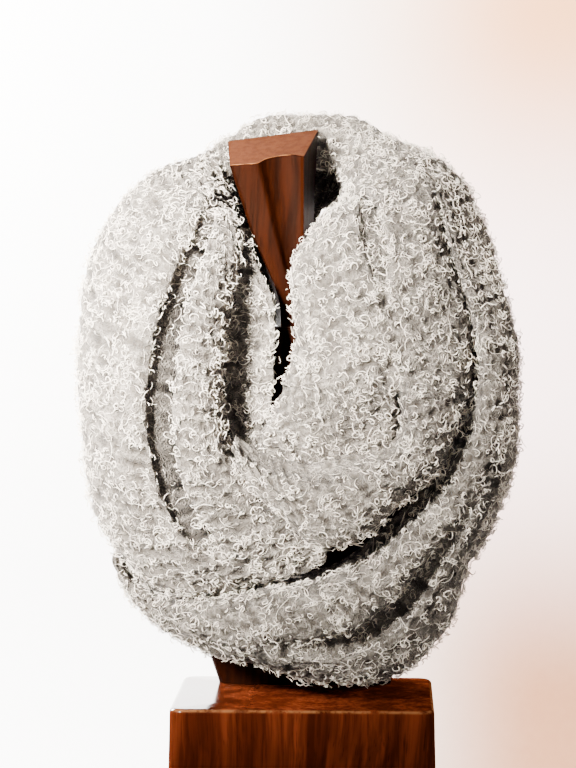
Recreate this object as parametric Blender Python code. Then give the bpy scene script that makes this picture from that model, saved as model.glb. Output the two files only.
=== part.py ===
"""An infinity scarf wound twice round a limbless wooden bust on a block.

The scarf is one closed loop of loopy knit cloth, worn doubled. Each stretch of it that
shows is a wall of cloth bent over into a roll: it runs between two edge lines, bulges
forward between them, tucks in behind at one edge and wraps round to the rear at the other.
Two stretches that share an edge line meet there in a crease.
The bust stands on a tapered block: a flat torso with sloping shoulders, and a neck that
widens upward to a top face sloping down to the front.

+X is to the right seen from the front, +Y to the back, +Z up. The origin is the middle
of the block's underside. Tables are in millimetres.
"""

import math
from collections import namedtuple

import bmesh
import bpy
import numpy as np

# Driving sizes in millimetres.
MM = 0.001
CLOTH_THICKNESS = 4.0
THICKNESS_SHARE = 0.13  # of a roll's width, where the cloth is pinched thinner than that
SEAM_GAP = 1.0  # between two stretches side by side, and end to end
TUCK_BACK = 9.0  # how far a roll's edge turns in behind it
TUCK_IN = 7.0  # and how far under it
NARROW_ROLL = 30.0  # a roll narrower than this has a smaller tuck
ROLL_FULLNESS = 0.8  # 1 gives a round roll, less a squarer one
ARCH_STEPS = 8
TUCK_STEPS = 2
REAR_STEPS = 5

BLOCK_HEIGHT = 100.0
BLOCK_TOP_WIDTH = 172.0
BLOCK_TOP_DEPTH = 120.0
BLOCK_TAPER = 2.4  # how much further out each side stands at the bottom
BLOCK_CORNER = 9.0
BLOCK_EDGE = 3.0

# The first turn's left side, from behind the neck down and round to the front.
# out is the outer edge, fold the long crease down its middle, and in the edge of the
# opening. bulge_out and bulge_in are how far the two rolls stand forward of their edges.
# rear_y is how far back the outer roll wraps, and rear_share where on its width it ends.
LeftRow = namedtuple(
    "LeftRow",
    "out_x out_y out_z fold_x fold_y fold_z in_x in_y in_z bulge_out bulge_in rear_y rear_share",
)
LEFT_SIDE = (
    LeftRow(-71, 60, 466, -56, 44, 440, -51, 44, 434, 16, 5, 84, -0.4),
    LeftRow(-106, 45, 452, -60, 20, 428, -44, 15, 418, 26, 10, 80, -0.1),
    LeftRow(-137, 30, 419, -68, -4, 400, -40, -10, 396, 41, 17, 70, 0.15),
    LeftRow(-150, 20, 383, -79, -20, 368, -43, -22, 364, 47, 24, 54, 0.25),
    LeftRow(-153, 12, 339, -87, -28, 334, -48, -28, 335, 48, 27, 44, 0.25),
    LeftRow(-152, 5, 296, -91, -34, 299, -49, -34, 302, 47, 26, 34, 0.25),
    LeftRow(-148, 0, 252, -88, -38, 264, -42, -38, 273, 45, 23, 24, 0.25),
    LeftRow(-137, -5, 211, -78, -40, 232, -28, -36, 250, 41, 22, 16, 0.3),
    LeftRow(-111, -12, 180, -62, -42, 208, -17, -32, 235, 35, 21, 6, 0.4),
    LeftRow(-74, -22, 167, -39, -43, 194, 0, -30, 224, 26, 19, -6, 0.4),
    LeftRow(-27, -28, 177, -12, -42, 189, 15, -28, 211, 19, 15, -14, 0.4),
    LeftRow(12, -32, 192, 15, -40, 198, 22, -30, 208, 10, 8, -22, 0.4),
)

# One roll: edge a is the inner or upper one, edge b the outer or lower one.
RollRow = namedtuple("RollRow", "a_x a_y a_z b_x b_y b_z bulge rear_y rear_share")

# Behind the neck. Its two ends are the first rows of the left and the right side.
BEHIND_THE_NECK = (
    RollRow(-51, 44, 434, -71, 60, 466, 18, 84, -0.4),
    RollRow(-49, 60, 444, -57, 76, 477, 19, 94, -0.8),
    RollRow(-31, 62, 450, -32, 78, 491, 18, 102, -0.8),
    RollRow(-5, 62, 451, -2, 78, 493, 18, 104, -0.8),
    RollRow(16, 56, 446, 29, 76, 491, 19, 102, -0.6),
    RollRow(21, 42, 439, 55, 66, 478, 26, 98, -0.2),
    RollRow(20, 28, 430, 90, 56, 461, 39, 94, 0.1),
)

# The right side, from the shoulder down: in is the edge of the opening, soft the shallow
# crease beside it, deep the crease between the two turns, and out the outer edge.
RightRow = namedtuple(
    "RightRow",
    "in_x in_y in_z soft_x soft_y soft_z deep_x deep_y deep_z out_x out_y out_z "
    "bulge_in bulge_middle bulge_out rear_y rear_share",
)
RIGHT_SIDE = (
    RightRow(20, 28, 430, 37, 2, 437, 70, 14, 451, 90, 56, 461, 12, 6, 12, 94, 0.3),
    RightRow(6, 10, 419, 41, -19, 426, 86, -1, 433, 113, 46, 437, 18, 9, 16, 86, 0.3),
    RightRow(-10, -13, 391, 49, -32, 396, 93, -12, 399, 129, 34, 401, 24, 15, 20, 76, 0.3),
    RightRow(-12, -18, 364, 51, -47, 364, 105, -16, 365, 137, 24, 365, 24, 20, 24, 66, 0.3),
    RightRow(-9, -26, 334, 57, -56, 334, 111, -20, 333, 144, 14, 333, 22, 26, 28, 54, 0.3),
    RightRow(-16, -30, 309, 61, -60, 306, 111, -26, 304, 145, 6, 302, 20, 29, 30, 44, 0.3),
)

# The first turn's inner right roll goes on down and tucks in behind the front roll.
RIGHT_TUCK = (
    RollRow(-16, -30, 309, 61, -60, 306, 20, -50, 0.9),
    RollRow(-26, -34, 287, 62, -52, 289, 14, -42, 0.9),
    RollRow(-36, -38, 274, 58, -46, 270, 8, -36, 0.9),
    RollRow(-31, -36, 255, 49, -42, 254, 4, -32, 0.9),
)

# The first turn's outer right roll turns left along the front and narrows to a tip.
FRONT_ROLL = (
    RollRow(61, -60, 306, 111, -26, 304, 29, -18, 0.9),
    RollRow(64, -58, 283, 103, -40, 284, 29, -32, 0.9),
    RollRow(57, -60, 268, 88, -50, 252, 29, -42, 0.85),
    RollRow(43, -62, 262, 64, -56, 233, 29, -48, 0.85),
    RollRow(28, -64, 257, 46, -60, 213, 28, -52, 0.85),
    RollRow(11, -64, 252, 23, -62, 205, 27, -54, 0.85),
    RollRow(-6, -64, 253, 4, -62, 208, 23, -56, 0.85),
    RollRow(-21, -64, 257, -16, -62, 227, 17, -57, 0.8),
    RollRow(-34, -63, 265, -33, -62, 241, 12, -58, 0.8),
    RollRow(-43, -63, 274, -44, -62, 260, 8, -59, 0.8),
)

# The second turn's right side, below where it parts from the first turn.
SECOND_TURN_RIGHT = (
    RollRow(111, -26, 304, 145, 6, 302, 30, 44, 0.3),
    RollRow(104, -34, 279, 146, 0, 276, 32, 34, 0.35),
    RollRow(92, -40, 251, 141, -5, 247, 34, 24, 0.35),
    RollRow(79, -44, 234, 131, -10, 218, 36, 14, 0.35),
)

# The second turn across the front: top is its upper edge, fold its crease, low its lower edge.
FrontRow = namedtuple(
    "FrontRow",
    "top_x top_y top_z fold_x fold_y fold_z low_x low_y low_z bulge_top bulge_low rear_y",
)
SECOND_TURN_FRONT = (
    FrontRow(79, -44, 234, 108, -60, 225, 131, -10, 218, 16, 16, 14),
    FrontRow(59, -46, 216, 93, -46, 199, 114, -14, 191, 24, 24, 6),
    FrontRow(36, -50, 196, 71, -44, 168, 96, -20, 146, 27, 28, -2),
    FrontRow(12, -52, 184, 41, -46, 145, 63, -28, 115, 29, 29, -12),
    FrontRow(-19, -52, 178, 0, -54, 134, 10, -34, 113, 25, 24, -20),
    FrontRow(-50, -46, 171, -34, -60, 138, -26, -34, 122, 16, 13, -22),
)
# The second turn's last stretch across the front, which ends behind the first turn.
SECOND_TURN_END = (
    RollRow(-50, -46, 171, -26, -34, 122, 30, -22, 0.5),
    RollRow(-86, -36, 168, -68, -30, 132, 26, -14, 0.5),
    RollRow(-112, -22, 179, -104, -20, 150, 21, -4, 0.5),
    RollRow(-126, -10, 195, -124, -8, 175, 15, 2, 0.5),
)

# The second turn up the left, behind the first turn, and then across the back below it.
SECOND_TURN_LEFT = (
    RollRow(-94, 30, 188, -116, 24, 178, 5, 46, 0.2),
    RollRow(-94, 36, 216, -136, 30, 211, 7, 60, 0.2),
    RollRow(-95, 48, 260, -145, 42, 254, 7, 78, 0.2),
    RollRow(-96, 60, 308, -149, 54, 306, 5, 92, 0.2),
    RollRow(-95, 73, 339, -143, 67, 362, 4, 102, 0.2),
    RollRow(-82, 82, 352, -119, 78, 402, 4, 110, 0.2),
)
SECOND_TURN_BACK = (
    RollRow(-82, 82, 352, -119, 78, 402, 4, 110, 0.2),
    RollRow(-46, 84, 344, -62, 84, 413, 8, 113, 0.2),
    RollRow(0, 85, 340, 0, 86, 412, 10, 114, 0.2),
    RollRow(46, 83, 344, 58, 82, 413, 8, 111, 0.2),
    RollRow(78, 78, 356, 98, 74, 402, 4, 100, 0.2),
)

# The layer that shows in the opening, behind the first turn's inner left roll.
INNER_LAYER = (
    RollRow(-58, 15, 411, -38, 10, 407, 3, 21, 0.6),
    RollRow(-60, 9, 392, -31, -2, 390, 4, 9, 0.7),
    RollRow(-61, 0, 371, -21, -7, 370, 4, 3, 0.6),
    RollRow(-63, -4, 349, -17, -8, 348, 6, 2, 0.6),
    RollRow(-63, -5, 328, -17, -9, 327, 7, 1, 0.6),
    RollRow(-64, -6, 306, -24, -12, 305, 6, -2, 0.6),
    RollRow(-64, -8, 284, -38, -16, 281, 4, -6, 0.5),
)

# The torso's level sections, bottom to top, and the neck's.
TorsoRow = namedtuple("TorsoRow", "z left right front back")
TORSO = (
    TorsoRow(100.3, -60, 58, 26, 57),
    TorsoRow(125, -68, 65, 25, 57.5),
    TorsoRow(160, -77, 74, 21, 58),
    TorsoRow(210, -82, 81, 15, 60),
    TorsoRow(260, -83, 84, 11, 61),
    TorsoRow(298, -75, 78, 10, 60),
    TorsoRow(324, -55, 57, 10, 56),
    TorsoRow(338, -33, 32, 11, 51),
    TorsoRow(344.7, -22, 19, 12, 46),
)
NeckRow = namedtuple("NeckRow", "z front_left front_right back_right back_left front back")
NECK = (
    NeckRow(345, -16, 5, 12, -21, 13, 44),
    NeckRow(360, -17, 1, 9, -22, 9, 44),
    NeckRow(374, -21, -1, 6, -25, 7, 44),
    NeckRow(404, -34, -1, 5, -37, 5, 44),
    NeckRow(428, -42, -1, 6, -46, 5, 45),
    NeckRow(452, -50, -1, 8, -54, 5, 45),
)
NECK_BACK_RISE = 19.0  # how much higher the top face is at the back
NECK_RIGHT_RISE = 6.0  # and on the right
TORSO_SQUARENESS = 0.55  # 1 gives an ellipse, less a squarer section


def smooth_rows(rows, stations, first=0.0, last=None):
    """The rows' columns at evenly spread stations, on a smooth curve through every row."""
    table = np.array(rows, float)
    last = len(table) - 1 if last is None else last
    places = np.linspace(first, last, stations)
    before = 2 * table[0] - table[1]
    after = 2 * table[-1] - table[-2]
    padded = np.vstack([before, table, after])
    row = np.minimum(places.astype(int), len(table) - 2)
    t = (places - row)[:, None]
    p0, p1, p2, p3 = (padded[row + shift] for shift in range(4))
    bend = 2 * p0 - 5 * p1 + 4 * p2 - p3
    twist = 3 * p1 - p0 - 3 * p2 + p3
    return 0.5 * (2 * p1 + (p2 - p0) * t + bend * t**2 + twist * t**3)


def edge(table, fields, name):
    """The x, y and z columns of one edge line."""
    at = fields.index(name + "_x")
    return table[:, at : at + 3]


def roll_surface(a, b, bulge, rear_y, rear_share):
    """Points across a roll's outer and inner side, from its tuck at edge a over to the rear.

    The front is an arch from a to b: its share across is (1 + sin turn) / 2 and it stands
    forward by bulge * cos(turn) ** ROLL_FULLNESS. Each end is a quarter of an ellipse.
    """
    across = b - a
    across[:, 1] = 0
    width = np.linalg.norm(across, axis=1, keepdims=True)
    unit = across / width
    a = a + unit * SEAM_GAP / 2
    b = b - unit * SEAM_GAP / 2
    small = np.minimum(1, width / NARROW_ROLL)
    back = np.array([0.0, 1.0, 0.0])
    parts = []
    for turn in np.linspace(math.pi / 2, 0, TUCK_STEPS, endpoint=False):
        under = unit * TUCK_IN * small * (1 - math.cos(turn))
        parts.append(a + under + back * TUCK_BACK * small * math.sin(turn))
    for turn in np.linspace(-math.pi / 2, math.pi / 2, ARCH_STEPS):
        share = (1 + math.sin(turn)) / 2
        forward = bulge[:, None] * max(math.cos(turn), 0) ** ROLL_FULLNESS
        parts.append(a + (b - a) * share - back * forward)
    rear = a + (b - a) * rear_share[:, None]
    rear[:, 1] = rear_y
    for turn in np.linspace(0, math.pi / 2, REAR_STEPS)[1:]:
        point = b + (rear - b) * (1 - math.cos(turn))
        point[:, 1] = b[:, 1] + (rear_y - b[:, 1]) * math.sin(turn)
        parts.append(point)
    outer = np.stack(parts, axis=1)
    return outer, cloth_wall(outer, unit, width[:, 0])


def cloth_wall(outer, unit, width):
    """The inner side of the cloth: each section moved in, square to itself, by its thickness."""
    thickness = np.minimum(CLOTH_THICKNESS, THICKNESS_SHARE * width)[:, None, None]
    along = np.gradient(outer, axis=1)
    flat = (along * unit[:, None, :]).sum(axis=2, keepdims=True)
    deep = along[:, :, 1:2]
    inward = np.concatenate([-deep * unit[:, None, :1], flat, -deep * unit[:, None, 2:]], axis=2)
    inward /= np.linalg.norm(inward, axis=2, keepdims=True)
    return outer + inward * thickness


def closed_grid(name, outer, inner):
    """One closed body from the two sides of a wall, joined round its four edges."""
    stations, points = outer.shape[:2]
    count = stations * points
    verts = np.concatenate([outer.reshape(-1, 3), inner.reshape(-1, 3)]) * MM
    index = np.arange(count).reshape(stations, points)
    quads = np.stack([index[:-1, :-1], index[:-1, 1:], index[1:, 1:], index[1:, :-1]], axis=2)
    quads = quads.reshape(-1, 4)
    rim = np.concatenate([index[0, :-1], index[:-1, -1], index[-1, :0:-1], index[:0:-1, 0]])
    onward = np.roll(rim, -1)
    sides = np.stack([rim, rim + count, onward + count, onward], axis=1)
    faces = np.concatenate([quads, quads[:, ::-1] + count, sides])
    return mesh_object(name, verts, faces)


def mesh_object(name, verts, faces):
    mesh = bpy.data.meshes.new(name)
    mesh.from_pydata(verts.tolist(), [], faces.tolist())
    build = bmesh.new()
    build.from_mesh(mesh)
    bmesh.ops.recalc_face_normals(build, faces=build.faces)
    if build.calc_volume(signed=True) < 0:
        bmesh.ops.reverse_faces(build, faces=build.faces)
    build.to_mesh(mesh)
    build.free()
    mesh.shade_smooth()
    obj = bpy.data.objects.new(name, mesh)
    bpy.context.collection.objects.link(obj)
    return obj


def end_gap(rows):
    """The share of a row that leaves half a seam's gap at a stretch's end."""
    table = np.array(rows, float)
    step = np.linalg.norm(table[1:, :3] - table[:-1, :3], axis=1).mean()
    return SEAM_GAP / 2 / step


def roll(name, rows, stations, color):
    """A stretch of one roll, from a table of RollRows."""
    gap = end_gap(rows)
    table = smooth_rows(rows, stations, gap, len(rows) - 1 - gap)
    fields = RollRow._fields
    a = edge(table, fields, "a")
    b = edge(table, fields, "b")
    outer, inner = roll_surface(a, b, table[:, 6], table[:, 7], table[:, 8])
    paint(closed_grid(name, outer, inner), color)


def roll_of(name, table, fields, a, b, bulge, rear, color):
    """A stretch of one roll, between two of the edge lines of a wider table."""
    first = edge(table, fields, a)
    second = edge(table, fields, b)
    width = np.linalg.norm((second - first)[:, [0, 2]], axis=1)
    if rear:
        rear_y = table[:, fields.index("rear_y")]
        has_share = "rear_share" in fields
        rear_share = table[:, fields.index("rear_share")] if has_share else np.full(len(table), 0.5)
    else:
        small = np.minimum(1, width / NARROW_ROLL)
        rear_y = second[:, 1] + TUCK_BACK * small
        rear_share = 1 - TUCK_IN * small / width
    bulge = table[:, fields.index(bulge)]
    outer, inner = roll_surface(first, second, bulge, rear_y, rear_share)
    paint(closed_grid(name, outer, inner), color)


def left_side(color):
    fields = LeftRow._fields
    gap = end_gap(LEFT_SIDE)
    table = smooth_rows(LEFT_SIDE, 20, gap)
    roll_of("turn_one_left_outer", table, fields, "fold", "out", "bulge_out", True, color)
    roll_of("turn_one_left_inner", table, fields, "in", "fold", "bulge_in", False, color)


def right_side(color):
    fields = RightRow._fields
    gap = end_gap(RIGHT_SIDE)
    table = smooth_rows(RIGHT_SIDE, 11, gap, len(RIGHT_SIDE) - 1 - gap)
    roll_of("turn_one_right_inner", table, fields, "in", "soft", "bulge_in", False, color)
    roll_of("turn_one_right_outer", table, fields, "soft", "deep", "bulge_middle", False, color)
    roll_of("turn_two_right_upper", table, fields, "deep", "out", "bulge_out", True, color)


def second_turn_front(color):
    fields = FrontRow._fields
    gap = end_gap(SECOND_TURN_FRONT)
    table = smooth_rows(SECOND_TURN_FRONT, 12, gap, len(SECOND_TURN_FRONT) - 1 - gap)
    roll_of("turn_two_front_upper", table, fields, "top", "fold", "bulge_top", False, color)
    roll_of("turn_two_front_lower", table, fields, "fold", "low", "bulge_low", True, color)


def loft(name, rings, color):
    """One closed body through a stack of rings with the same number of points."""
    stack = np.array(rings)
    levels, points = stack.shape[:2]
    verts = stack.reshape(-1, 3) * MM
    index = np.arange(levels * points).reshape(levels, points)
    onward = np.roll(index, -1, axis=1)
    quads = np.stack([index[:-1], onward[:-1], onward[1:], index[1:]], axis=2).reshape(-1, 4)
    faces = quads.tolist() + [index[0, ::-1].tolist(), index[-1].tolist()]
    mesh = bpy.data.meshes.new(name)
    mesh.from_pydata(verts.tolist(), [], faces)
    mesh.shade_smooth()
    obj = bpy.data.objects.new(name, mesh)
    bpy.context.collection.objects.link(obj)
    paint(obj, color)


def rounded_rectangle(half_width, half_depth, radius, z, corner_steps=4):
    """A level ring: four corner arcs, anticlockwise seen from above."""
    ring = []
    corners = ((1, -1, -90), (1, 1, 0), (-1, 1, 90), (-1, -1, 180))
    for side_x, side_y, start in corners:
        for step in range(corner_steps + 1):
            turn = math.radians(start + 90 * step / corner_steps)
            x = side_x * (half_width - radius) + radius * math.cos(turn)
            y = side_y * (half_depth - radius) + radius * math.sin(turn)
            ring.append((x, y, z))
    return ring


def base_block(color):
    """A tapered block with rounded corners and softly rounded top and bottom edges."""
    half_width = BLOCK_TOP_WIDTH / 2
    half_depth = BLOCK_TOP_DEPTH / 2
    rings = []
    bottom_edge = ((0.0, 1.5), (1.5, 0.0))
    top_edge = [(BLOCK_EDGE * math.sin(turn), BLOCK_EDGE * (1 - math.cos(turn)))
                for turn in np.radians((0, 30, 60, 90))]
    levels = list(bottom_edge)
    levels += [(BLOCK_HEIGHT - BLOCK_EDGE + rise, inset) for rise, inset in top_edge]
    for z, inset in levels:
        out = BLOCK_TAPER * (1 - z / BLOCK_HEIGHT) - inset
        rings.append(rounded_rectangle(half_width + out, half_depth + out, BLOCK_CORNER - inset, z))
    loft("base_block", rings, color)


def torso(color):
    """Level superellipse sections, each |sin| and |cos| raised to TORSO_SQUARENESS."""
    table = smooth_rows(TORSO, 15)
    rings = []
    for z, left, right, front, back in table:
        ring = []
        for turn in np.linspace(-math.pi, math.pi, 28, endpoint=False):
            over = math.copysign(abs(math.cos(turn)) ** TORSO_SQUARENESS, math.cos(turn))
            deep = math.copysign(abs(math.sin(turn)) ** TORSO_SQUARENESS, math.sin(turn))
            x = (left + right) / 2 + (right - left) / 2 * over
            y = (front + back) / 2 + (back - front) / 2 * deep
            ring.append((x, y, z))
        rings.append(ring)
    loft("bust_torso", rings, color)


def neck(color):
    """Four-sided sections that widen upward. The highest follows the sloping top face."""
    table = smooth_rows(NECK, 9)
    top_z = table[-1, 0]
    low_z = table[0, 0]
    rings = []
    for z, front_left, front_right, back_right, back_left, front, back in table:
        share = (z - low_z) / (top_z - low_z)
        rise_back = NECK_BACK_RISE * share**2
        rise_right = NECK_RIGHT_RISE * share**2
        ring = []
        sides = ((front_left, front, front_right, front), (front_right, front, back_right, back),
                 (back_right, back, back_left, back), (back_left, back, front_left, front))
        for x0, y0, x1, y1 in sides:
            for step in (0.06, 0.35, 0.65, 0.94):
                x = x0 + (x1 - x0) * step
                y = y0 + (y1 - y0) * step
                up = rise_back * (y - front) / (back - front)
                up += rise_right * (x - front_left) / (front_right - front_left)
                ring.append((x, y, z + up))
        rings.append(ring)
    loft("bust_neck", rings, color)


def paint(obj, color):
    obj.data.materials.append(color)


def finish(name, color, roughness, coat=0.0, sheen=0.0):
    material = bpy.data.materials.new(name)
    material.use_nodes = True
    shader = material.node_tree.nodes["Principled BSDF"]
    shader.inputs["Base Color"].default_value = (*color, 1.0)
    shader.inputs["Roughness"].default_value = roughness
    shader.inputs["Metallic"].default_value = 0.0
    shader.inputs["Coat Weight"].default_value = coat
    shader.inputs["Sheen Weight"].default_value = sheen
    return material


def main():
    for obj in list(bpy.data.objects):
        bpy.data.objects.remove(obj)
    cloth = {
        name: finish(name, (0.62, 0.57, 0.51), 0.95, sheen=0.3)
        for name in ("first_turn_cloth", "second_turn_cloth", "inner_cloth")
    }
    wood = {
        name: finish(name, (0.13, 0.035, 0.012), 0.3, coat=0.4)
        for name in ("block_wood", "torso_wood", "neck_wood")
    }
    base_block(wood["block_wood"])
    torso(wood["torso_wood"])
    neck(wood["neck_wood"])
    left_side(cloth["first_turn_cloth"])
    roll("turn_one_behind_neck", BEHIND_THE_NECK, 13, cloth["first_turn_cloth"])
    right_side(cloth["first_turn_cloth"])
    roll("turn_one_right_tuck", RIGHT_TUCK, 6, cloth["first_turn_cloth"])
    roll("front_roll", FRONT_ROLL, 19, cloth["first_turn_cloth"])
    roll("turn_two_right_lower", SECOND_TURN_RIGHT, 8, cloth["second_turn_cloth"])
    second_turn_front(cloth["second_turn_cloth"])
    roll("turn_two_front_end", SECOND_TURN_END, 7, cloth["second_turn_cloth"])
    roll("turn_two_left", SECOND_TURN_LEFT, 10, cloth["second_turn_cloth"])
    roll("turn_two_back", SECOND_TURN_BACK, 10, cloth["second_turn_cloth"])
    roll("inner_layer_left", INNER_LAYER, 9, cloth["inner_cloth"])


main()
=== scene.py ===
"""The looks of an infinity scarf of loopy knit, wound twice round a wooden bust on a block.

It is laid out as a Blender add-on and run as a script. The cloth is worked out from the same
tables of edge lines as the scarf's frame, in millimetres, and everything else in metres:
+X is to the right seen from the front, +Y to the back and +Z up.
"""

import math
from collections import namedtuple

import bpy
import numpy as np
from bpy.props import FloatProperty, FloatVectorProperty, IntProperty, PointerProperty
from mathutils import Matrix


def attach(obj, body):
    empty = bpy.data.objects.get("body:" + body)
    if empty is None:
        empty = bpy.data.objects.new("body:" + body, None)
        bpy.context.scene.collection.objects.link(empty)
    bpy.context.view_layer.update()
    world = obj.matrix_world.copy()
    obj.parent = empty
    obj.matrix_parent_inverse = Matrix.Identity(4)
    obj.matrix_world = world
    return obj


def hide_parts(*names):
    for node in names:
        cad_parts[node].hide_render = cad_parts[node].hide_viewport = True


bl_info = {
    "name": "Loopy Knit Infinity Scarf",
    "version": (1, 0, 0),
    "blender": (4, 5, 0),
    "location": "View3D > Sidebar > Scarf",
    "description": "Builds a doubled loop scarf of bouclé knit on its wooden bust",
    "category": "Object",
}

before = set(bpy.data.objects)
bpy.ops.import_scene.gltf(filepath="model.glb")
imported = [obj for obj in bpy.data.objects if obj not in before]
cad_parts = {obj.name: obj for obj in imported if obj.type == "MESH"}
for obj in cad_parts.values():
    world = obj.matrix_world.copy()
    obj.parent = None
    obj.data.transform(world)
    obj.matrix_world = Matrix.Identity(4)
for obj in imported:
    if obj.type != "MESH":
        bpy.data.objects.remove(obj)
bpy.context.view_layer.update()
MM = 0.001

# Where the cloth lies, in millimetres. One roll of cloth runs between edge a, its inner or
# upper edge, and edge b, and stands forward of them by bulge. It wraps to the rear past b, as
# far back as rear_y, and ends at the share rear_share of the way from a to b.

RollRow = namedtuple("RollRow", "a_x a_y a_z b_x b_y b_z bulge rear_y rear_share")


def rows_of(kind, values):
    return tuple(kind(*row) for row in values)



LeftRow = namedtuple(
    "LeftRow",
    "out_x out_y out_z fold_x fold_y fold_z in_x in_y in_z bulge_out bulge_in rear_y rear_share",
)
LEFT_SIDE = rows_of(LeftRow, (
    (-71, 60, 466, -56, 44, 440, -51, 44, 434, 16, 5, 84, -1.3),
    (-106, 45, 452, -60, 20, 428, -44, 15, 418, 26, 10, 80, -0.7),
    (-137, 30, 419, -68, -4, 400, -40, -10, 396, 41, 17, 70, 0.15),
    (-150, 20, 383, -79, -20, 368, -43, -22, 364, 47, 24, 54, 0.25),
    (-153, 12, 339, -87, -28, 334, -48, -28, 335, 48, 27, 44, 0.25),
    (-152, 5, 296, -91, -34, 299, -49, -34, 302, 47, 26, 34, 0.25),
    (-148, 0, 252, -88, -38, 264, -42, -38, 273, 45, 23, 24, 0.25),
    (-137, -5, 211, -78, -40, 232, -28, -36, 250, 41, 22, 16, 0.3),
    (-111, -12, 180, -62, -42, 208, -17, -32, 235, 35, 21, 6, 0.4),
    (-74, -22, 167, -39, -43, 194, 0, -30, 224, 26, 19, -6, 0.4),
    (-27, -28, 177, -12, -42, 189, 15, -28, 211, 19, 15, -14, 0.4),
    (12, -32, 192, 15, -40, 198, 22, -30, 208, 10, 8, -22, 0.4),
))
# How much of a crease shows at each row, and how far forward the two rolls stand as one.
LEFT_CREASE = (0.0, 0.6, 0.58, 0.56, 0.54, 0.54, 0.58, 0.62, 0.6, 0.5, 0.4, 0.2)
LEFT_BULGE = (18, 34, 50, 58, 60, 58, 56, 50, 40, 30, 22, 12)

BEHIND_THE_NECK = rows_of(RollRow, (
    (-51, 44, 434, -71, 60, 466, 18, 84, -0.9),
    (-49, 60, 444, -57, 76, 477, 19, 94, -1.2),
    (-31, 62, 450, -32, 78, 491, 18, 102, -1.1),
    (-5, 62, 451, -2, 78, 493, 18, 104, -1.1),
    (16, 56, 446, 29, 76, 491, 19, 102, -0.95),
    (21, 42, 439, 55, 66, 478, 26, 98, -0.8),
    (20, 28, 430, 90, 56, 461, 39, 94, -0.35),
    (12, 22, 424, 103, 58, 448, 31, 92, -0.15),
))

RightRow = namedtuple(
    "RightRow",
    "in_x in_y in_z soft_x soft_y soft_z deep_x deep_y deep_z bulge_in bulge_middle",
)
# The first row lies just under the collar, where the right side's rolls rise out of it.
RIGHT_SIDE = rows_of(RightRow, (
    (20, 37, 434, 33, 18, 443, 57, 29, 458, 3, 2),
    (20, 28, 430, 37, 2, 437, 70, 14, 451, 12, 6),
    (6, 10, 419, 41, -19, 426, 86, -1, 433, 18, 9),
    (-10, -13, 391, 49, -32, 396, 93, -12, 399, 24, 15),
    (-12, -18, 364, 51, -47, 364, 105, -16, 365, 24, 20),
    (-9, -26, 334, 57, -56, 334, 111, -20, 333, 22, 26),
    (-16, -30, 309, 61, -60, 306, 111, -26, 304, 20, 29),
))
RIGHT_CREASE = (0.1, 0.6, 0.9, 0.7, 0.15, 0.05, 1)
RIGHT_BULGE = (5, 17, 26, 31, 36, 38, 36)

RIGHT_TUCK = rows_of(RollRow, (
    (-26, -34, 287, 62, -52, 289, 14, -42, 0.9),
    (-36, -38, 274, 58, -46, 270, 8, -36, 0.9),
    (-31, -36, 255, 49, -42, 254, 4, -32, 0.9),
))

FRONT_ROLL = rows_of(RollRow, (
    (64, -58, 283, 103, -40, 284, 29, -32, 0.9),
    (57, -60, 268, 88, -50, 252, 29, -42, 0.85),
    (43, -62, 262, 64, -56, 233, 29, -48, 0.85),
    (28, -64, 257, 46, -60, 213, 28, -52, 0.85),
    (11, -64, 252, 23, -62, 205, 27, -54, 0.85),
    (-6, -64, 253, 4, -62, 208, 23, -56, 0.85),
    (-21, -64, 257, -16, -62, 227, 17, -57, 0.8),
    (-34, -63, 265, -33, -62, 241, 12, -58, 0.8),
    (-43, -63, 274, -44, -62, 260, 8, -59, 0.8),
))

# The second turn from the shoulder down the right, across the front and behind the first:
# top is its inner or upper edge, fold its crease, low its outer or lower edge.
FrontRow = namedtuple(
    "FrontRow",
    "top_x top_y top_z fold_x fold_y fold_z low_x low_y low_z bulge_top bulge_low "
    "rear_y rear_share bulge crease",
)
SECOND_TURN = rows_of(FrontRow, (
    (57, 29, 458, 66, 42, 463, 72, 63, 468, 3, 3, 76, 0.2, 3, 0),
    (70, 14, 451, 82, 26, 456, 90, 56, 461, 8, 8, 82, 0.3, 12, 0),
    (86, -1, 433, 102, 10, 436, 113, 46, 437, 9, 10, 86, 0.3, 16, 0),
    (93, -12, 399, 114, -6, 401, 129, 34, 401, 10, 12, 76, 0.3, 20, 0),
    (105, -16, 365, 124, -14, 365, 137, 24, 365, 12, 14, 66, 0.3, 24, 0),
    (111, -20, 333, 130, -24, 333, 144, 14, 333, 14, 16, 54, 0.3, 28, 0),
    (111, -26, 304, 131, -36, 303, 145, 6, 302, 14, 16, 44, 0.3, 30, 0),
    (104, -34, 279, 128, -44, 277, 146, 0, 276, 15, 16, 34, 0.35, 32, 0.1),
    (92, -40, 251, 120, -50, 249, 141, -5, 247, 15, 16, 24, 0.35, 34, 0.35),
    (79, -44, 234, 108, -56, 226, 131, -10, 218, 16, 16, 14, 0.4, 36, 0.5),
    (59, -46, 216, 91, -48, 200, 114, -14, 191, 24, 24, 6, 0.5, 40, 0.65),
    (36, -50, 196, 69, -44, 170, 96, -20, 146, 27, 28, -2, 0.5, 42, 0.65),
    (12, -52, 184, 39, -46, 147, 63, -28, 115, 29, 29, -12, 0.5, 40, 0.65),
    (-19, -52, 178, -3, -54, 138, 10, -34, 113, 25, 24, -20, 0.5, 34, 0.45),
    (-50, -46, 171, -36, -58, 141, -26, -34, 122, 16, 13, -22, 0.5, 30, 0.25),
    (-86, -36, 168, -76, -44, 149, -68, -30, 132, 12, 11, -14, 0.5, 26, 0),
    (-112, -22, 179, -108, -26, 164, -104, -20, 150, 9, 9, -4, 0.5, 21, 0),
    (-126, -10, 195, -125, -12, 185, -124, -8, 175, 6, 6, 2, 0.5, 15, 0),
))

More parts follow.
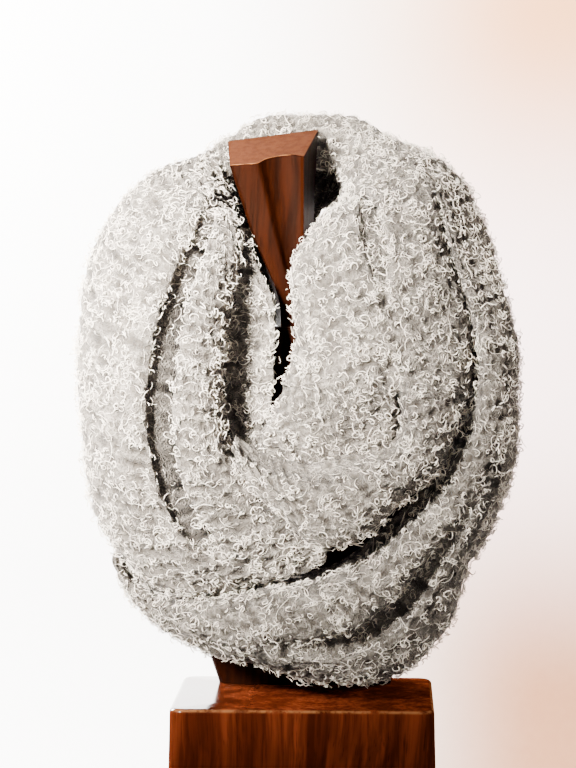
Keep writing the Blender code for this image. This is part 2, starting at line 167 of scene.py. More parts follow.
SECOND_TURN_LEFT = rows_of(RollRow, (
    (-94, 30, 188, -116, 24, 178, 5, 46, 0.2),
    (-94, 36, 216, -136, 30, 211, 7, 60, 0.2),
    (-95, 48, 260, -145, 42, 254, 7, 78, 0.2),
    (-96, 60, 308, -149, 54, 306, 5, 92, 0.2),
    (-95, 73, 339, -143, 67, 362, 4, 102, 0.2),
    (-82, 82, 352, -119, 78, 402, 4, 110, 0.2),
))
SECOND_TURN_BACK = rows_of(RollRow, (
    (-82, 82, 352, -119, 78, 402, 4, 110, 0.2),
    (-46, 84, 344, -62, 84, 413, 8, 113, 0.2),
    (0, 85, 340, 0, 86, 412, 10, 114, 0.2),
    (46, 83, 344, 58, 82, 413, 8, 111, 0.2),
    (78, 78, 356, 98, 74, 402, 4, 100, 0.2),
))

INNER_LAYER = rows_of(RollRow, (
    (-58, 15, 411, -38, 10, 407, 3, 21, 0.6),
    (-60, 9, 392, -31, -2, 390, 4, 9, 0.7),
    (-61, 0, 371, -21, -7, 370, 4, 3, 0.6),
    (-63, -4, 349, -17, -8, 348, 6, 2, 0.6),
    (-63, -5, 328, -17, -9, 327, 7, 1, 0.6),
    (-64, -6, 306, -19, -12, 305, 6, -2, 0.6),
    (-64, -8, 284, -22, -16, 281, 5, -6, 0.5),
    (-62, -12, 262, -26, -20, 258, 4, -10, 0.5),
))

# Millimetres across, below which a roll's hems, wall and unevenness shrink with it.
NARROW_ROLL = 30.0
# Of a section's columns, how many lie in a hem and in the wrap to the rear, and the share across
# from which the knit's rows are counted.
HEM_SHARE, WRAP_SHARE, CROWN_SHARE = 0.07, 0.34, 0.3
# A trough between these depths in millimetres counts as a hole, up to the second value: fewer
# strands stand in it and its cloth takes the holes' painted shade, painted shade in the crease.
CREASE_DEPTHS, CREASE_BARE_AND_SHADE = (4.4, 8.0), 0.5
# The shares of a cell's size at which a hole between stitches is whole and gone.
HOLE_RADII = (0.23, 0.60)
STRANDS_A_PIECE = 3900
CM2_IN_A_M2 = 1e4
# Past this share across, on the side away from the front, the strands are this much sparser.
REAR_FROM, REAR_DENSITY = 1.35, 0.6
# A strand that stands so many metres off the cloth gets its full painted light: strands nearer
# the cloth are painted darker, as shade.
FULL_PAINTED_LIGHT_RISE = 0.0028

# The kinds of strand that stand on the cloth: how many to a square centimetre, radius and yarn
# radius in millimetres, sweep and greatest tilt off the cloth in degrees, and segments.
Strand = namedtuple("Strand", "name per_cm2 radius yarn sweep tilt segments")
STRANDS = (
    Strand("rings", 2.4, (1.15, 1.9), 0.33, (350, 400), 70, 8),
    Strand("curls", 3.3, (1.5, 3.0), 0.32, (170, 320), 75, 7),
    Strand("threads", 2.6, (4.5, 10.0), 0.25, (50, 115), 14, 5),
    Strand("fuzz", 4.4, (1.8, 4.5), 0.17, (60, 160), 30, 4),
)

# A soft trough laid in one stretch: from start to end along it (0 to 1), at a share
# across it that runs from across_start to across_end, so wide and so deep.
Trough = namedtuple("Trough", "start end across_start across_end width_mm depth_mm")


# ---- Settings ----


def length(name, description, default, low=0.0, high=1.0):
    """A size in metres that a user may change."""
    return FloatProperty(
        name=name, description=description, default=default, min=low, max=high, unit="LENGTH")


def colour(name, description, default):
    """A colour that a user may change."""
    return FloatVectorProperty(
        name=name, description=description, default=default, min=0, max=1, subtype="COLOR")


class ScarfSizes(bpy.types.PropertyGroup):
    """Sizes of the cloth and its yarn"""

    thickness: length("Cloth thickness", "From the inner to the outer side of the knit", 0.004)
    step_along: length(
        "Step along", "Spacing of the cloth's grid along a stretch", 0.0023, low=0.001)
    step_across: length(
        "Step across", "Spacing of the cloth's grid across a stretch", 0.0033, low=0.001)
    course: length(
        "Course", "Spacing of the knit's rows, which run across the band", 0.0088, low=0.002)
    wale: length("Wale", "Spacing of the stitches along a row", 0.0084, low=0.002)
    course_rise: length(
        "Course rise", "How far a knit row stands above the dip beside it", 0.0004, high=0.003)
    hole_depth: length(
        "Hole depth", "How far the cloth dips between stitches", 0.0023, high=0.004)
    lump: length(
        "Lump height", "How far the cloth's slow unevenness reaches", 0.0020, high=0.006)
    loop_stand: length(
        "Loops' stand", "How far inside the worn outline the bare cloth lies", 0.0026, high=0.006)
    yarn_density: FloatProperty(
        name="Yarn density", description="Strands, against the usual number of each kind",
        default=1.0, min=0.0, max=2.0)
    seed: IntProperty(name="Seed", description="Of the curls' placing", default=7, min=0)


class ScarfColours(bpy.types.PropertyGroup):
    """Colours of the cloth"""

    yarn: colour("Yarn", "The curled yarn", (0.80, 0.70, 0.575))
    # The knit's own greige tone, darkened far below the yarn as painted shade between the loops.
    ground: colour("Ground", "The fuzzy knit under the curls", (0.105, 0.091, 0.075))
    # Near black: painted shade in the gaps between stitches and in deep creases.
    hollow: colour("Hollow", "The gaps between stitches", (0.03, 0.024, 0.018))


class StandSizes(bpy.types.PropertyGroup):
    """Sizes of the wooden stand"""

    block_height: length("Block height", "Of the tapered block", 0.100)
    block_width: length("Block top width", "Across its top", 0.172)
    block_depth: length("Block top depth", "Front to back of its top", 0.120)
    block_taper: length(
        "Block taper", "How much further out each side stands at the bottom", 0.0024)
    block_corner: length("Block corner", "Radius of its upright corners", 0.009)
    block_edge: length("Block edge", "Radius of its top edge", 0.003)


class StandColours(bpy.types.PropertyGroup):
    """Colours of the wood"""

    block: colour("Block", "The block's varnished wood", (0.044, 0.0074, 0.0020))
    block_streak: colour("Block streaks", "Its lighter grain", (0.115, 0.0215, 0.0062))
    # Near black: the dark wood, darkened further as painted shade where the bust shows in deep
    # gaps of the cloth.
    bust: colour("Bust", "The carved wood", (0.0052, 0.0009, 0.0002))
    bust_streak: colour("Bust streaks", "Its lighter grain", (0.0112, 0.0020, 0.0004))
    # Worn wood at edges, which also serves as a painted highlight along them.
    worn: colour("Worn wood", "Where the varnish has gone, at edges", (0.20, 0.075, 0.026))
    # Far lighter than the bust wood: painted light on the neck's top face, which is also duller.
    cut: colour("Cut top", "The duller top of the neck", (0.047, 0.0148, 0.0060))


# ---- Numbers ----


def smooth_rows(rows, places):
    """The rows' columns at the given places, on a Catmull-Rom curve through every row."""
    table = np.array(rows, float)
    before = 2 * table[0] - table[1]
    after = 2 * table[-1] - table[-2]
    padded = np.vstack([before, table, after])
    row = np.clip(places.astype(int), 0, len(table) - 2)
    t = (places - row)[:, None]
    p0, p1, p2, p3 = (padded[row + shift] for shift in range(4))
    bend = 2 * p0 - 5 * p1 + 4 * p2 - p3
    twist = 3 * p1 - p0 - 3 * p2 + p3
    return 0.5 * (2 * p1 + (p2 - p0) * t + bend * t**2 + twist * t**3)


def lattice_value(corner, seed):
    """A steady pseudo-random number from -1 to 1 for each whole-numbered corner."""
    mixed = corner[..., 0] * 73856093 ^ corner[..., 1] * 19349663 ^ corner[..., 2] * 83492791
    mixed = (mixed + seed * 2654435761) & 0xFFFFFFFF
    mixed = ((mixed >> 16) ^ mixed) * 73244475 & 0xFFFFFFFF
    mixed = ((mixed >> 16) ^ mixed) * 73244475 & 0xFFFFFFFF
    mixed = (mixed >> 16) ^ mixed
    return mixed / 0x7FFFFFFF - 1


def noise(points, size, seed):
    """Value noise: lattice numbers a size apart, blended by 3t^2 - 2t^3 along each axis."""
    scaled = points / size
    low = np.floor(scaled).astype(np.int64)
    t = scaled - low
    t = t * t * (3 - 2 * t)
    total = np.zeros(points.shape[:-1])
    for shift in np.ndindex(2, 2, 2):
        weight = np.prod(np.where(shift, t, 1 - t), axis=-1)
        total += weight * lattice_value(low + np.array(shift), seed)
    return total


def unit_vectors(vectors):
    return vectors / np.maximum(np.linalg.norm(vectors, axis=-1, keepdims=True), 1e-12)


def smoothstep(low, high, value):
    t = np.clip((value - low) / (high - low), 0, 1)
    return t * t * (3 - 2 * t)


# ---- Meshes ----


def new_mesh(name, verts, faces, material, uv=None, values=None):
    """An object at the origin from arrays: quads or triangles, uv per vertex, named values."""
    mesh = bpy.data.meshes.new(name)
    corners = faces.shape[1]
    mesh.vertices.add(len(verts))
    mesh.vertices.foreach_set("co", verts.astype(np.float32).ravel())
    mesh.loops.add(faces.size)
    mesh.loops.foreach_set("vertex_index", faces.astype(np.int32).ravel())
    mesh.polygons.add(len(faces))
    mesh.polygons.foreach_set("loop_start", np.arange(0, faces.size, corners, dtype=np.int32))
    mesh.update(calc_edges=True)
    if uv is not None:
        layer = mesh.uv_layers.new(name="UVMap")
        layer.uv.foreach_set("vector", uv[faces.ravel()].astype(np.float32).ravel())
    for title, value in (values or {}).items():
        attribute = mesh.attributes.new(title, "FLOAT", "POINT")
        attribute.data.foreach_set("value", value.astype(np.float32))
    mesh.validate()
    mesh.shade_smooth()
    mesh.materials.append(material)
    obj = bpy.data.objects.new(name, mesh)
    bpy.context.scene.collection.objects.link(obj)
    return obj


def grid_normals(points):
    """The unit normals of a grid of points, along x across."""
    return unit_vectors(np.cross(np.gradient(points, axis=0), np.gradient(points, axis=1)))


def wall_faces(stations, points):
    """Quads of a closed wall whose outer side comes first: both sides and the rim."""
    count = stations * points
    index = np.arange(count).reshape(stations, points)
    quads = np.stack([index[:-1, :-1], index[1:, :-1], index[1:, 1:], index[:-1, 1:]], axis=2)
    quads = quads.reshape(-1, 4)
    rim = np.concatenate([index[0, :-1], index[:-1, -1], index[-1, :0:-1], index[:0:-1, 0]])
    onward = np.roll(rim, -1)
    sides = np.stack([rim, onward, onward + count, rim + count], axis=1)
    return np.concatenate([quads, quads[:, ::-1] + count, sides])


def arch(a, b, bulge, turns, full_a, full_b):
    """Points of a roll's front: share across = (1 + sin turn) / 2 of the way from edge a to b,
    forward = bulge * (4 share (1 - share)) ^ fullness, which goes from full_a to full_b."""
    share = (1 + np.sin(turns)) / 2
    fullness = full_a + (full_b - full_a) * share
    forward = bulge[:, None] * np.maximum(4 * share * (1 - share), 0) ** fullness
    points = a[:, None] + (b - a)[:, None] * share[None, :, None]
    points[..., 1] -= forward
    return points, share


def tuck(a, unit, small, hem, open_share, turns):
    """A quarter of an ellipse that turns back behind edge a, so deep and so far in. A hem that
    reaches out under its neighbour does so less where the gap between them is open."""
    inward = hem.inward * small
    if hem.inward < 0:
        inward = inward * (1 - open_share[:, None])
    points = a[:, None] + unit[:, None] * inward[..., None] * (1 - np.cos(turns))[:, None]
    points[..., 1] += small * hem.back * np.sin(turns)
    return points


def wrap(a, b, rear_y, rear_share, turns):
    """A quarter of an ellipse from edge b back to rear_y, ending rear_share along a to b."""
    rear = a + (b - a) * rear_share[:, None]
    points = b[:, None] + (rear - b)[:, None] * (1 - np.cos(turns))[:, None]
    points[..., 1] = b[:, 1:2] + (rear_y - b[:, 1])[:, None] * np.sin(turns)
    return points


def section_points(stretch, table, counts):
    """Points across each station, and each column's share across: below 0 in the tuck, 0 to 1
    on the front (0.5 at the fold, if there is one) and 1 to 2 on the wrap.

    With a fold the front is a mix, by crease, of one arch over all and an arch on either side.
    """
    a, b, bulge = table[:, 0:3], table[:, 3:6], table[:, 6]
    rear_y, rear_share = table[:, 7], table[:, 8]
    start, end = stretch.fullness[0], stretch.fullness[-1]
    across = b - a
    across[:, 1] = 0
    width = np.linalg.norm(across, axis=1, keepdims=True)
    unit = across / width
    small = np.minimum(1, width / NARROW_ROLL)
    if stretch.far_hem is not None:
        rear_y = b[:, 1] + small[:, 0] * stretch.far_hem.back
        rear_share = 1 - (small / width)[:, 0] * stretch.far_hem.inward
    front, back_steps, rear_steps = counts
    under = np.linspace(np.pi / 2, 0, back_steps, endpoint=False)
    behind = np.linspace(0, np.pi / 2, rear_steps + 1)[1:]
    crease = np.zeros(len(table))
    has_fold = table.shape[1] > len(RollRow._fields)
    if not has_fold:
        turns = np.linspace(-np.pi / 2, np.pi / 2, front)
        points, share = arch(a, b, bulge, turns, start, end)
    else:
        fold, crease = table[:, 9:12], np.clip(table[:, 14], 0, 1)
        half = np.linspace(-np.pi / 2, np.pi / 2, (front + 1) // 2)
        first, low = arch(a, fold, table[:, 12], half, start, stretch.fullness[1])
        second, high = arch(fold, b, table[:, 13], half, stretch.fullness[1], end)
        share = np.concatenate([low[:-1] / 2, (1 + high) / 2])
        middle = ((fold - a)[:, [0, 2]] * unit[:, [0, 2]]).sum(axis=1, keepdims=True) / width
        even = np.where(share < 0.5, share * 2 * middle, middle + (share * 2 - 1) * (1 - middle))
        lift = np.maximum(4 * even * (1 - even), 0) ** (start + (end - start) * even)
        points = a[:, None] + (b - a)[:, None] * even[..., None]
        points[..., 1] -= bulge[:, None] * lift
        creased = np.concatenate([first[:, :-1], second], axis=1)
        points += (creased - points) * crease[:, None, None]
    points = np.concatenate([tuck(a, unit, small, stretch.near_hem, crease, under), points,
                             wrap(a, b, rear_y, rear_share, behind)], axis=1)
    shares = np.concatenate([-np.sin(under), share, 1 + np.sin(behind)])
    return points, unit, width[:, 0], shares


def arc_lengths(points, axis):
    """Distance along an axis of a grid of points, from its first point."""
    step = np.linalg.norm(np.diff(points, axis=axis), axis=2)
    pad = [(0, 0), (0, 0)]
    pad[axis] = (1, 0)
    return np.pad(np.cumsum(step, axis=axis), pad)


def trough_depth(troughs, along, across, width_mm):
    """Millimetres to press in: a bell across each trough, which fades towards both its ends."""
    depth = np.zeros((len(along), len(across)))
    for t in troughs:
        inside = np.clip((along - t.start) / (t.end - t.start), 0, 1)
        fade = np.sin(np.pi * inside) ** 0.7
        middle = t.across_start + (t.across_end - t.across_start) * inside
        off = (across[None, :] - middle[:, None]) * width_mm[:, None] / t.width_mm
        depth += t.depth_mm * fade[:, None] * np.exp(-off * off)
    return depth


def stitch_holes(along, across, place, sizes, seed):
    """From 0 to 1, how much a gap between stitches shows: round each cell's middle, in rows one
    course apart whose cells are staggered by half, each with its own strength and some shut."""
    course, wale = sizes.course / MM, sizes.wale / MM
    row = along / course + 0.28 * noise(place, 30, seed)
    stitch = across / wale + 0.5 * np.floor(row) + 0.28 * noise(place, 26, seed + 1)
    cell = np.stack([np.floor(row), np.floor(stitch), np.full(row.shape, seed)], axis=-1)
    strength = np.clip(0.8 + 0.8 * lattice_value(cell.astype(np.int64), seed), 0, 1)
    off = np.hypot(row - np.floor(row) - 0.5, stitch - np.floor(stitch) - 0.5)
    return strength * (1 - smoothstep(*HOLE_RADII, off))


def sheet_shape(stretch, sizes):
    """A stretch's outer and inner points and its uv in metres, column shares and holes.

    Outer = section - normal * (loops' stand + troughs + holes) + normal * (slow lumps + knit
    rows). Inner = outer moved in, square to the section, by the wall's thickness. A deep
    trough counts as a hole, so fewer strands stand in it and its cloth is painted dark: painted
    shade in the crease.
    """
    table = np.array(stretch.rows, float)
    size = table.shape[0] - 1
    rough_rows = smooth_rows(table, np.linspace(0, size, 4 * size + 1))
    rough = section_points(stretch, rough_rows, (9, 2, 4))
    long_way = arc_lengths(rough[0], 0)[-1].max() * MM
    wide_way = arc_lengths(rough[0], 1).max() * MM
    stations = max(8, round(long_way / sizes.step_along))
    columns = max(12, round(wide_way / sizes.step_across))
    back_steps = max(3, round(columns * HEM_SHARE))
    rear_steps = max(3, round(columns * WRAP_SHARE)) if stretch.far_hem is None else back_steps
    front = max(7, columns - back_steps - rear_steps) // 2 * 2 + 1
    table = smooth_rows(table, np.linspace(0, size, stations))
    section, unit, width, shares = section_points(stretch, table, (front, back_steps, rear_steps))
    normal = grid_normals(section)
    crown = np.argmin(np.abs(shares - CROWN_SHARE))
    along = arc_lengths(section, 0)[:, crown]
    across = arc_lengths(section, 1)
    across -= across[:, crown:crown + 1]
    steady = smoothstep(-1.0, 0.06, shares) * (1 - smoothstep(1.3, 2.0, shares))
    narrow = np.minimum(1, width / NARROW_ROLL)[:, None]
    steady = steady[None, :] * narrow
    lumps = noise(section, 46, 1) + 0.6 * noise(section, 20, 2)
    knit_along = along[:, None] + stretch.slant * across
    row_wave = np.cos(2 * np.pi * knit_along / (sizes.course / MM) + 2.8 * noise(section, 34, 3))
    holes = stitch_holes(knit_along, across, section, sizes, 4)
    press = trough_depth(stretch.troughs, along / along[-1], shares, width)
    # A deep crease is painted dark like a hole: painted shade in the crease.
    holes = np.maximum(holes, CREASE_BARE_AND_SHADE * smoothstep(*CREASE_DEPTHS, press))
    rise = (sizes.lump * lumps + sizes.course_rise * row_wave - sizes.hole_depth * holes) / MM
    near, far = stretch.stand
    stand = near + (1 - near) * smoothstep(0, 0.16, shares)
    stand *= 1 + (far - 1) * smoothstep(0.84, 1, shares)
    press += sizes.loop_stand / MM * stand * narrow
    outer = section + outward(section, normal) * (steady * rise - press)[..., None]
    deep = np.gradient(section, axis=1)[..., 1:2]
    flat = (np.gradient(section, axis=1) * unit[:, None, :]).sum(axis=2, keepdims=True)
    inward = np.concatenate([-deep * unit[:, None, :1], flat, -deep * unit[:, None, 2:]], axis=2)
    wall = np.minimum(sizes.thickness / MM, 0.13 * width)[:, None, None]
    inner = outer + unit_vectors(inward) * wall
    uv = np.stack([np.broadcast_to(along[:, None], across.shape), across], axis=2)
    return outer * MM, inner * MM, uv * MM, shares, holes


def outward(section, normal):
    """The grid's normals, turned over where the grid runs the other way, so they face forward
    at the crown of the roll."""
    middle = len(section) // 2
    crown = section[middle, :, 1].argmin()
    return normal if normal[middle, crown, 1] < 0 else -normal


def cloth_sheet(stretch, sizes, material):
    """A closed wall of cloth for one stretch, and what its loops of yarn stand on."""
    outer, inner, uv, shares, holes = sheet_shape(stretch, sizes)
    stations, points = outer.shape[:2]
    normal = outward(outer, grid_normals(outer))
    verts = np.concatenate([outer.reshape(-1, 3), inner.reshape(-1, 3)])
    both = np.concatenate([uv.reshape(-1, 2), uv.reshape(-1, 2)])
    faces = wall_faces(stations, points)
    if (grid_normals(outer) * normal).sum() < 0:
        faces = faces[:, ::-1]
    gap = np.concatenate([holes.ravel(), holes.ravel()])
    obj = new_mesh(stretch.name, verts, faces, material, uv=both, values={"hole": gap})
    return obj, (outer, normal, shares, holes)


def strand_places(ground, stretch, per_cm2, random):
    """Where strands stand: per grid cell, area * density * (1 - hole)^3, rounded at random."""
    outer, normal, shares, holes = ground
    low, high = stretch.loops
    keep = (shares > low) & (shares < high)
    grid, facing, hole = outer[:, keep], normal[:, keep], holes[:-1, keep][:, :-1]
    a, b, c = grid[:-1, :-1], grid[1:, :-1], grid[:-1, 1:]
    area = np.linalg.norm(np.cross(b - a, c - a), axis=2)
    dense = np.where(shares[keep][:-1] > REAR_FROM, REAR_DENSITY, 1.0) * stretch.dense
    wanted = area * CM2_IN_A_M2 * per_cm2 * dense[None, :] * (1 - hole) ** 3
    count = np.floor(wanted + random.random(wanted.shape)).astype(int)
    row, column = np.nonzero(count)
    repeat = count[row, column]
    row, column = np.repeat(row, repeat), np.repeat(column, repeat)
    u, v = random.random((2, len(row), 1))
    at = a[row, column] + u * (b - a)[row, column] + v * (c - a)[row, column]
    return at, facing[row, column], unit_vectors((b - a)[row, column])


def strands_of_yarn(stretch, ground, sizes, material, seed):
    """Rings, curls and slack threads of yarn on a stretch's outer side, as joined meshes.

    Each is centre + radius * (cos w * p + sin w * q) + drift * w * (p x q), w from 0 to its own
    sweep, where p and q span a plane tilted off the cloth. A three-sided tube follows it.
    """
    random = np.random.default_rng(sizes.seed * 100 + seed)
    pieces = []
    for kind in STRANDS:
        centre, facing, tangent = strand_places(
            ground, stretch, kind.per_cm2 * sizes.yarn_density, random)
        count = len(centre)

        def between(low, high, power=1.0):
            return low + (high - low) * random.random(count) ** power

        turn, start = between(0, 2 * np.pi), between(0, 2 * np.pi)
        side = unit_vectors(np.cross(facing, tangent))
        lying = np.cos(turn)[:, None] * tangent + np.sin(turn)[:, None] * side
        tilt = np.radians(between(5, kind.tilt, 1.4))
        rising = np.cos(tilt)[:, None] * np.cross(facing, lying) + np.sin(tilt)[:, None] * facing
        radius = between(*kind.radius, 1.3) * MM
        yarn = kind.yarn * MM * between(0.75, 1.3)
        sweep = np.radians(between(*kind.sweep))
        w = np.linspace(0, 1, kind.segments + 1)[None, :] * sweep[:, None]
        angle = w + start[:, None]
        reach = radius[:, None] * (1 + 0.16 * np.sin(2.3 * w + turn[:, None]))
        middle_angle = start + sweep / 2
        slack = 1.0 if kind.name == "threads" else 0.0
        rise = radius * np.sin(tilt)
        middle = centre + facing * ((1 - slack) * rise * 0.8 + between(0.0003, 0.0012))[:, None]
        middle -= slack * radius[:, None] * (np.cos(middle_angle)[:, None] * lying
                                             + np.sin(middle_angle)[:, None] * rising)
        flatness = between(0.74, 1.0)[:, None]
        drift = yarn[:, None] * (w - w[:, -1:] / 2)
        path = middle[:, None, :]
        for amount, axis in ((reach * np.cos(angle), lying),
                             (reach * flatness * np.sin(angle), rising),
                             (drift, np.cross(lying, rising))):
            path = path + amount[..., None] * axis[:, None, :]
        verts = tubes(path, middle, yarn)
        # Painted light: a strand's tone rises with its height off the cloth, over its random tone;
        # the fuzz's tone is halved.
        height = (1 - slack) * np.clip(rise / FULL_PAINTED_LIGHT_RISE, 0, 1)
        tone_and_light = np.clip(between(0.0, 0.6) + 0.5 * height, 0, 1)
        if kind.name == "fuzz":
            tone_and_light *= 0.5
        parts = np.array_split(np.arange(count), count // STRANDS_A_PIECE + 1)
        for number, part in enumerate(parts, 1):
            pieces.append(strand_mesh(f"{stretch.name}_{kind.name}_{number}", verts[part],
                                      tone_and_light[part], material))
    return pieces


def tubes(path, middle, yarn):
    """Three corners round each point of each path, at the yarn's radius, less at the ends."""
    along = unit_vectors(np.gradient(path, axis=1))
    out = path - middle[:, None, :]
    out = unit_vectors(out - (out * along).sum(axis=2, keepdims=True) * along)
    across = np.cross(along, out)
    taper = np.ones(path.shape[1])
    taper[[0, -1]] = 0.45
    corners = []
    for spin in np.radians((0, 120, 240)):
        offset = math.cos(spin) * out + math.sin(spin) * across
        corners.append(path + offset * (yarn[:, None] * taper)[..., None])
    return np.stack(corners, axis=2)


def strand_mesh(name, verts, tone_and_light, material):
    """One mesh of many three-sided tubes, given as strands x rings x 3 corners x xyz."""
    count, rings = verts.shape[:2]
    index = np.arange(count * rings * 3).reshape(count, rings, 3)
    onward = np.roll(index, -1, axis=2)
    quads = np.stack([index[:, :-1], onward[:, :-1], onward[:, 1:], index[:, 1:]], axis=3)
    quads = quads.reshape(-1, 4)
    tris = np.concatenate([quads[:, [0, 1, 2]], quads[:, [0, 2, 3]]])
    caps = np.concatenate([index[:, 0, ::-1], index[:, -1]])
    return new_mesh(name, verts.reshape(-1, 3), np.concatenate([tris, caps]), material,
                    values={"tone_and_light": np.repeat(tone_and_light, rings * 3)})


# ---- Materials ----


def new_material(name):
    """A material, its node tree, its shader and the piece's own Object coordinates."""
    material = bpy.data.materials.new(name)
    material.use_nodes = True
    tree = material.node_tree
    place = tree.nodes.new("ShaderNodeTexCoord").outputs["Object"]
    return material, tree, tree.nodes["Principled BSDF"], place


def set_inputs(tree, node, inputs):
    """Links each named or numbered input to an output, or sets it to a number or a colour."""
    for key, value in inputs.items():
        socket = node.inputs[key]
        if isinstance(value, bpy.types.NodeSocket):
            tree.links.new(value, socket)
        elif isinstance(value, (int, float)):
            socket.default_value = value
        else:
            socket.default_value = (*value, 1) if socket.type == "RGBA" else value


def new_node(tree, kind, inputs, **options):
    node = tree.nodes.new(kind)
    for title, value in options.items():
        setattr(node, title, value)
    set_inputs(tree, node, inputs)
    return node


def math_node(tree, operation, *values):
    return new_node(tree, "ShaderNodeMath", dict(enumerate(values)),
                    operation=operation).outputs[0]


def times(tree, a, b):
    return math_node(tree, "MULTIPLY", a, b)


def vector_node(tree, operation, *values):
    return new_node(tree, "ShaderNodeVectorMath", dict(enumerate(values)),
                    operation=operation).outputs[0]


def ramp(tree, value, low, high):
    """0 below low, 1 above high, smooth between."""
    return new_node(tree, "ShaderNodeMapRange",
                    {"From Min": low, "From Max": high, "Value": value},
                    interpolation_type="SMOOTHSTEP").outputs["Result"]


def mix_colour(tree, factor, a, b):
    """Colour a where the factor is 0 and b where it is 1."""
    return new_node(tree, "ShaderNodeMix", {"Factor": factor, 6: a, 7: b},
                    data_type="RGBA").outputs[2]


def noise_texture(tree, vector, scale, detail=2.0, rough=0.5):
    return new_node(tree, "ShaderNodeTexNoise", {
        "Scale": scale, "Detail": detail, "Roughness": rough, "Vector": vector}).outputs


def attribute(tree, name):
    """The piece's own value of that name, from 0 to 1."""
    return new_node(tree, "ShaderNodeAttribute", {}, attribute_name=name).outputs["Fac"]


def bump(tree, shader, height, strength, distance):
    node = new_node(tree, "ShaderNodeBump",
                    {"Strength": strength, "Distance": distance, "Height": height})
    tree.links.new(node.outputs["Normal"], shader.inputs["Normal"])


def scaled(colour_value, share):
    return [c * share for c in colour_value]


def group(name, inputs, outputs):
    """An empty shader node group with the named sockets: (name, type, default)."""
    tree = bpy.data.node_groups.new(name, "ShaderNodeTree")
    for title, kind, default in inputs:
        socket = tree.interface.new_socket(title, in_out="INPUT", socket_type=kind)
        if default is not None:
            socket.default_value = default
    for title in outputs:
        tree.interface.new_socket(title, in_out="OUTPUT", socket_type="NodeSocketFloat")
    return tree, tree.nodes.new("NodeGroupInput").outputs, tree.nodes.new("NodeGroupOutput")


def curl_group():
    """Rings of yarn drawn on a surface: where the distance to a cell's middle is near a radius."""
    tree, start, end = group("Yarn curls", [
        ("Vector", "NodeSocketVector", None), ("Scale", "NodeSocketFloat", 150.0),
        ("Line", "NodeSocketFloat", 0.1)], ["Mask", "Height"])
    warp = noise_texture(tree, start["Vector"], 260, 1)["Color"]
    nudge = vector_node(tree, "MULTIPLY_ADD", warp, (0.0035, 0.0035, 0.0035), start["Vector"])
    total = None
    for number, (share, radius) in enumerate(((1.0, 0.42), (1.23, 0.34), (0.82, 0.5))):
        shift = vector_node(tree, "ADD", nudge, (0.37 * number, 0.11 * number, 0.23 * number))
        scale = times(tree, start["Scale"], share)
        cell = new_node(tree, "ShaderNodeTexVoronoi", {"Vector": shift, "Scale": scale},
                        feature="F1").outputs["Distance"]
        off = math_node(tree, "ABSOLUTE", math_node(tree, "SUBTRACT", cell, radius))
        faded = math_node(tree, "DIVIDE", off, start["Line"])
        line = math_node(tree, "MAXIMUM", math_node(tree, "SUBTRACT", 1.0, faded), 0.0)
        total = line if total is None else math_node(tree, "MAXIMUM", total, line)
    set_inputs(tree, end, {"Mask": ramp(tree, total, 0.0, 0.7), "Height": total})
    return tree


def cloth_material(colours, curls):
    """The knit under the loops: greige fuzz, drawn curls, and by the hole value the painted
    shade of the gaps between stitches and of deep creases.
    """
    material, tree, shader, place = new_material("loopy_knit_ground")
    curl = new_node(tree, "ShaderNodeGroup", {"Scale": 190.0, "Line": 0.09, "Vector": place},
                    node_tree=curls).outputs
    fuzz = noise_texture(tree, place, 900, 3, 0.65)["Fac"]
    patch = noise_texture(tree, place, 60)["Fac"]
    base = mix_colour(tree, ramp(tree, fuzz, 0.35, 0.68), scaled(colours.ground, 0.35),
                      scaled(colours.ground, 1.7))
    for factor, over in (
        (ramp(tree, patch, 0.3, 0.7), scaled(colours.ground, 1.2)),
        (times(tree, curl["Mask"], 0.36), scaled(colours.yarn, 0.8)),
        # Painted shade: the gaps between stitches and deep creases are darkened by the hole value.
        (times(tree, attribute(tree, "hole"), 0.92), colours.hollow),
    ):
        base = mix_colour(tree, factor, base, over)
    height = math_node(tree, "ADD", curl["Height"], times(tree, fuzz, 0.35))
    bump(tree, shader, height, 0.9, 0.0012)
    set_inputs(tree, shader, {
        "Base Color": base, "Roughness": 0.95, "Specular IOR Level": 0.1,
        "Sheen Weight": 0.05, "Sheen Roughness": 0.6})
    return material


def yarn_material(colours):
    """The loops: pale yarn, each a little lighter or darker at random and painted lighter the
    higher it stands off the cloth, with fine fibres along it.
    """
    material, tree, shader, place = new_material("loopy_knit_yarn")
    fibre = noise_texture(tree, place, 2600)["Fac"]
    # The tone attribute holds the random tone and the painted light by height.
    shade = mix_colour(tree, attribute(tree, "tone_and_light"), scaled(colours.yarn, 0.6),
                       [min(1, c) for c in scaled(colours.yarn, 1.12)])
    speckle = mix_colour(tree, ramp(tree, fibre, 0.3, 0.75), shade, colours.yarn)
    set_inputs(tree, shader, {"Base Color": speckle, "Roughness": 0.85,
                              "Specular IOR Level": 0.25, "Sheen Weight": 0.3})
    return material


def grain_group():
    """Straight wood grain: long thin streaks, broader bands and fine pores."""
    tree, start, end = group("Wood grain", [("Vector", "NodeSocketVector", None)],
                             ["Streak", "Band", "Pore"])
    wander = noise_texture(tree, start["Vector"], 9)["Color"]
    nudge = vector_node(tree, "MULTIPLY_ADD", wander, (0.018, 0.018, 0.0), start["Vector"])
    for title, squeeze, scale, low, high in (
        ("Streak", 0.035, 260, 0.40, 0.62),
        ("Band", 0.045, 70, 0.38, 0.66),
        ("Pore", 0.05, 900, 0.56, 0.7),
    ):
        upright = vector_node(tree, "MULTIPLY", nudge, (1, 1, squeeze))
        streak = noise_texture(tree, upright, scale, 3, 0.55)["Fac"]
        set_inputs(tree, end, {title: ramp(tree, streak, low, high)})
    return tree


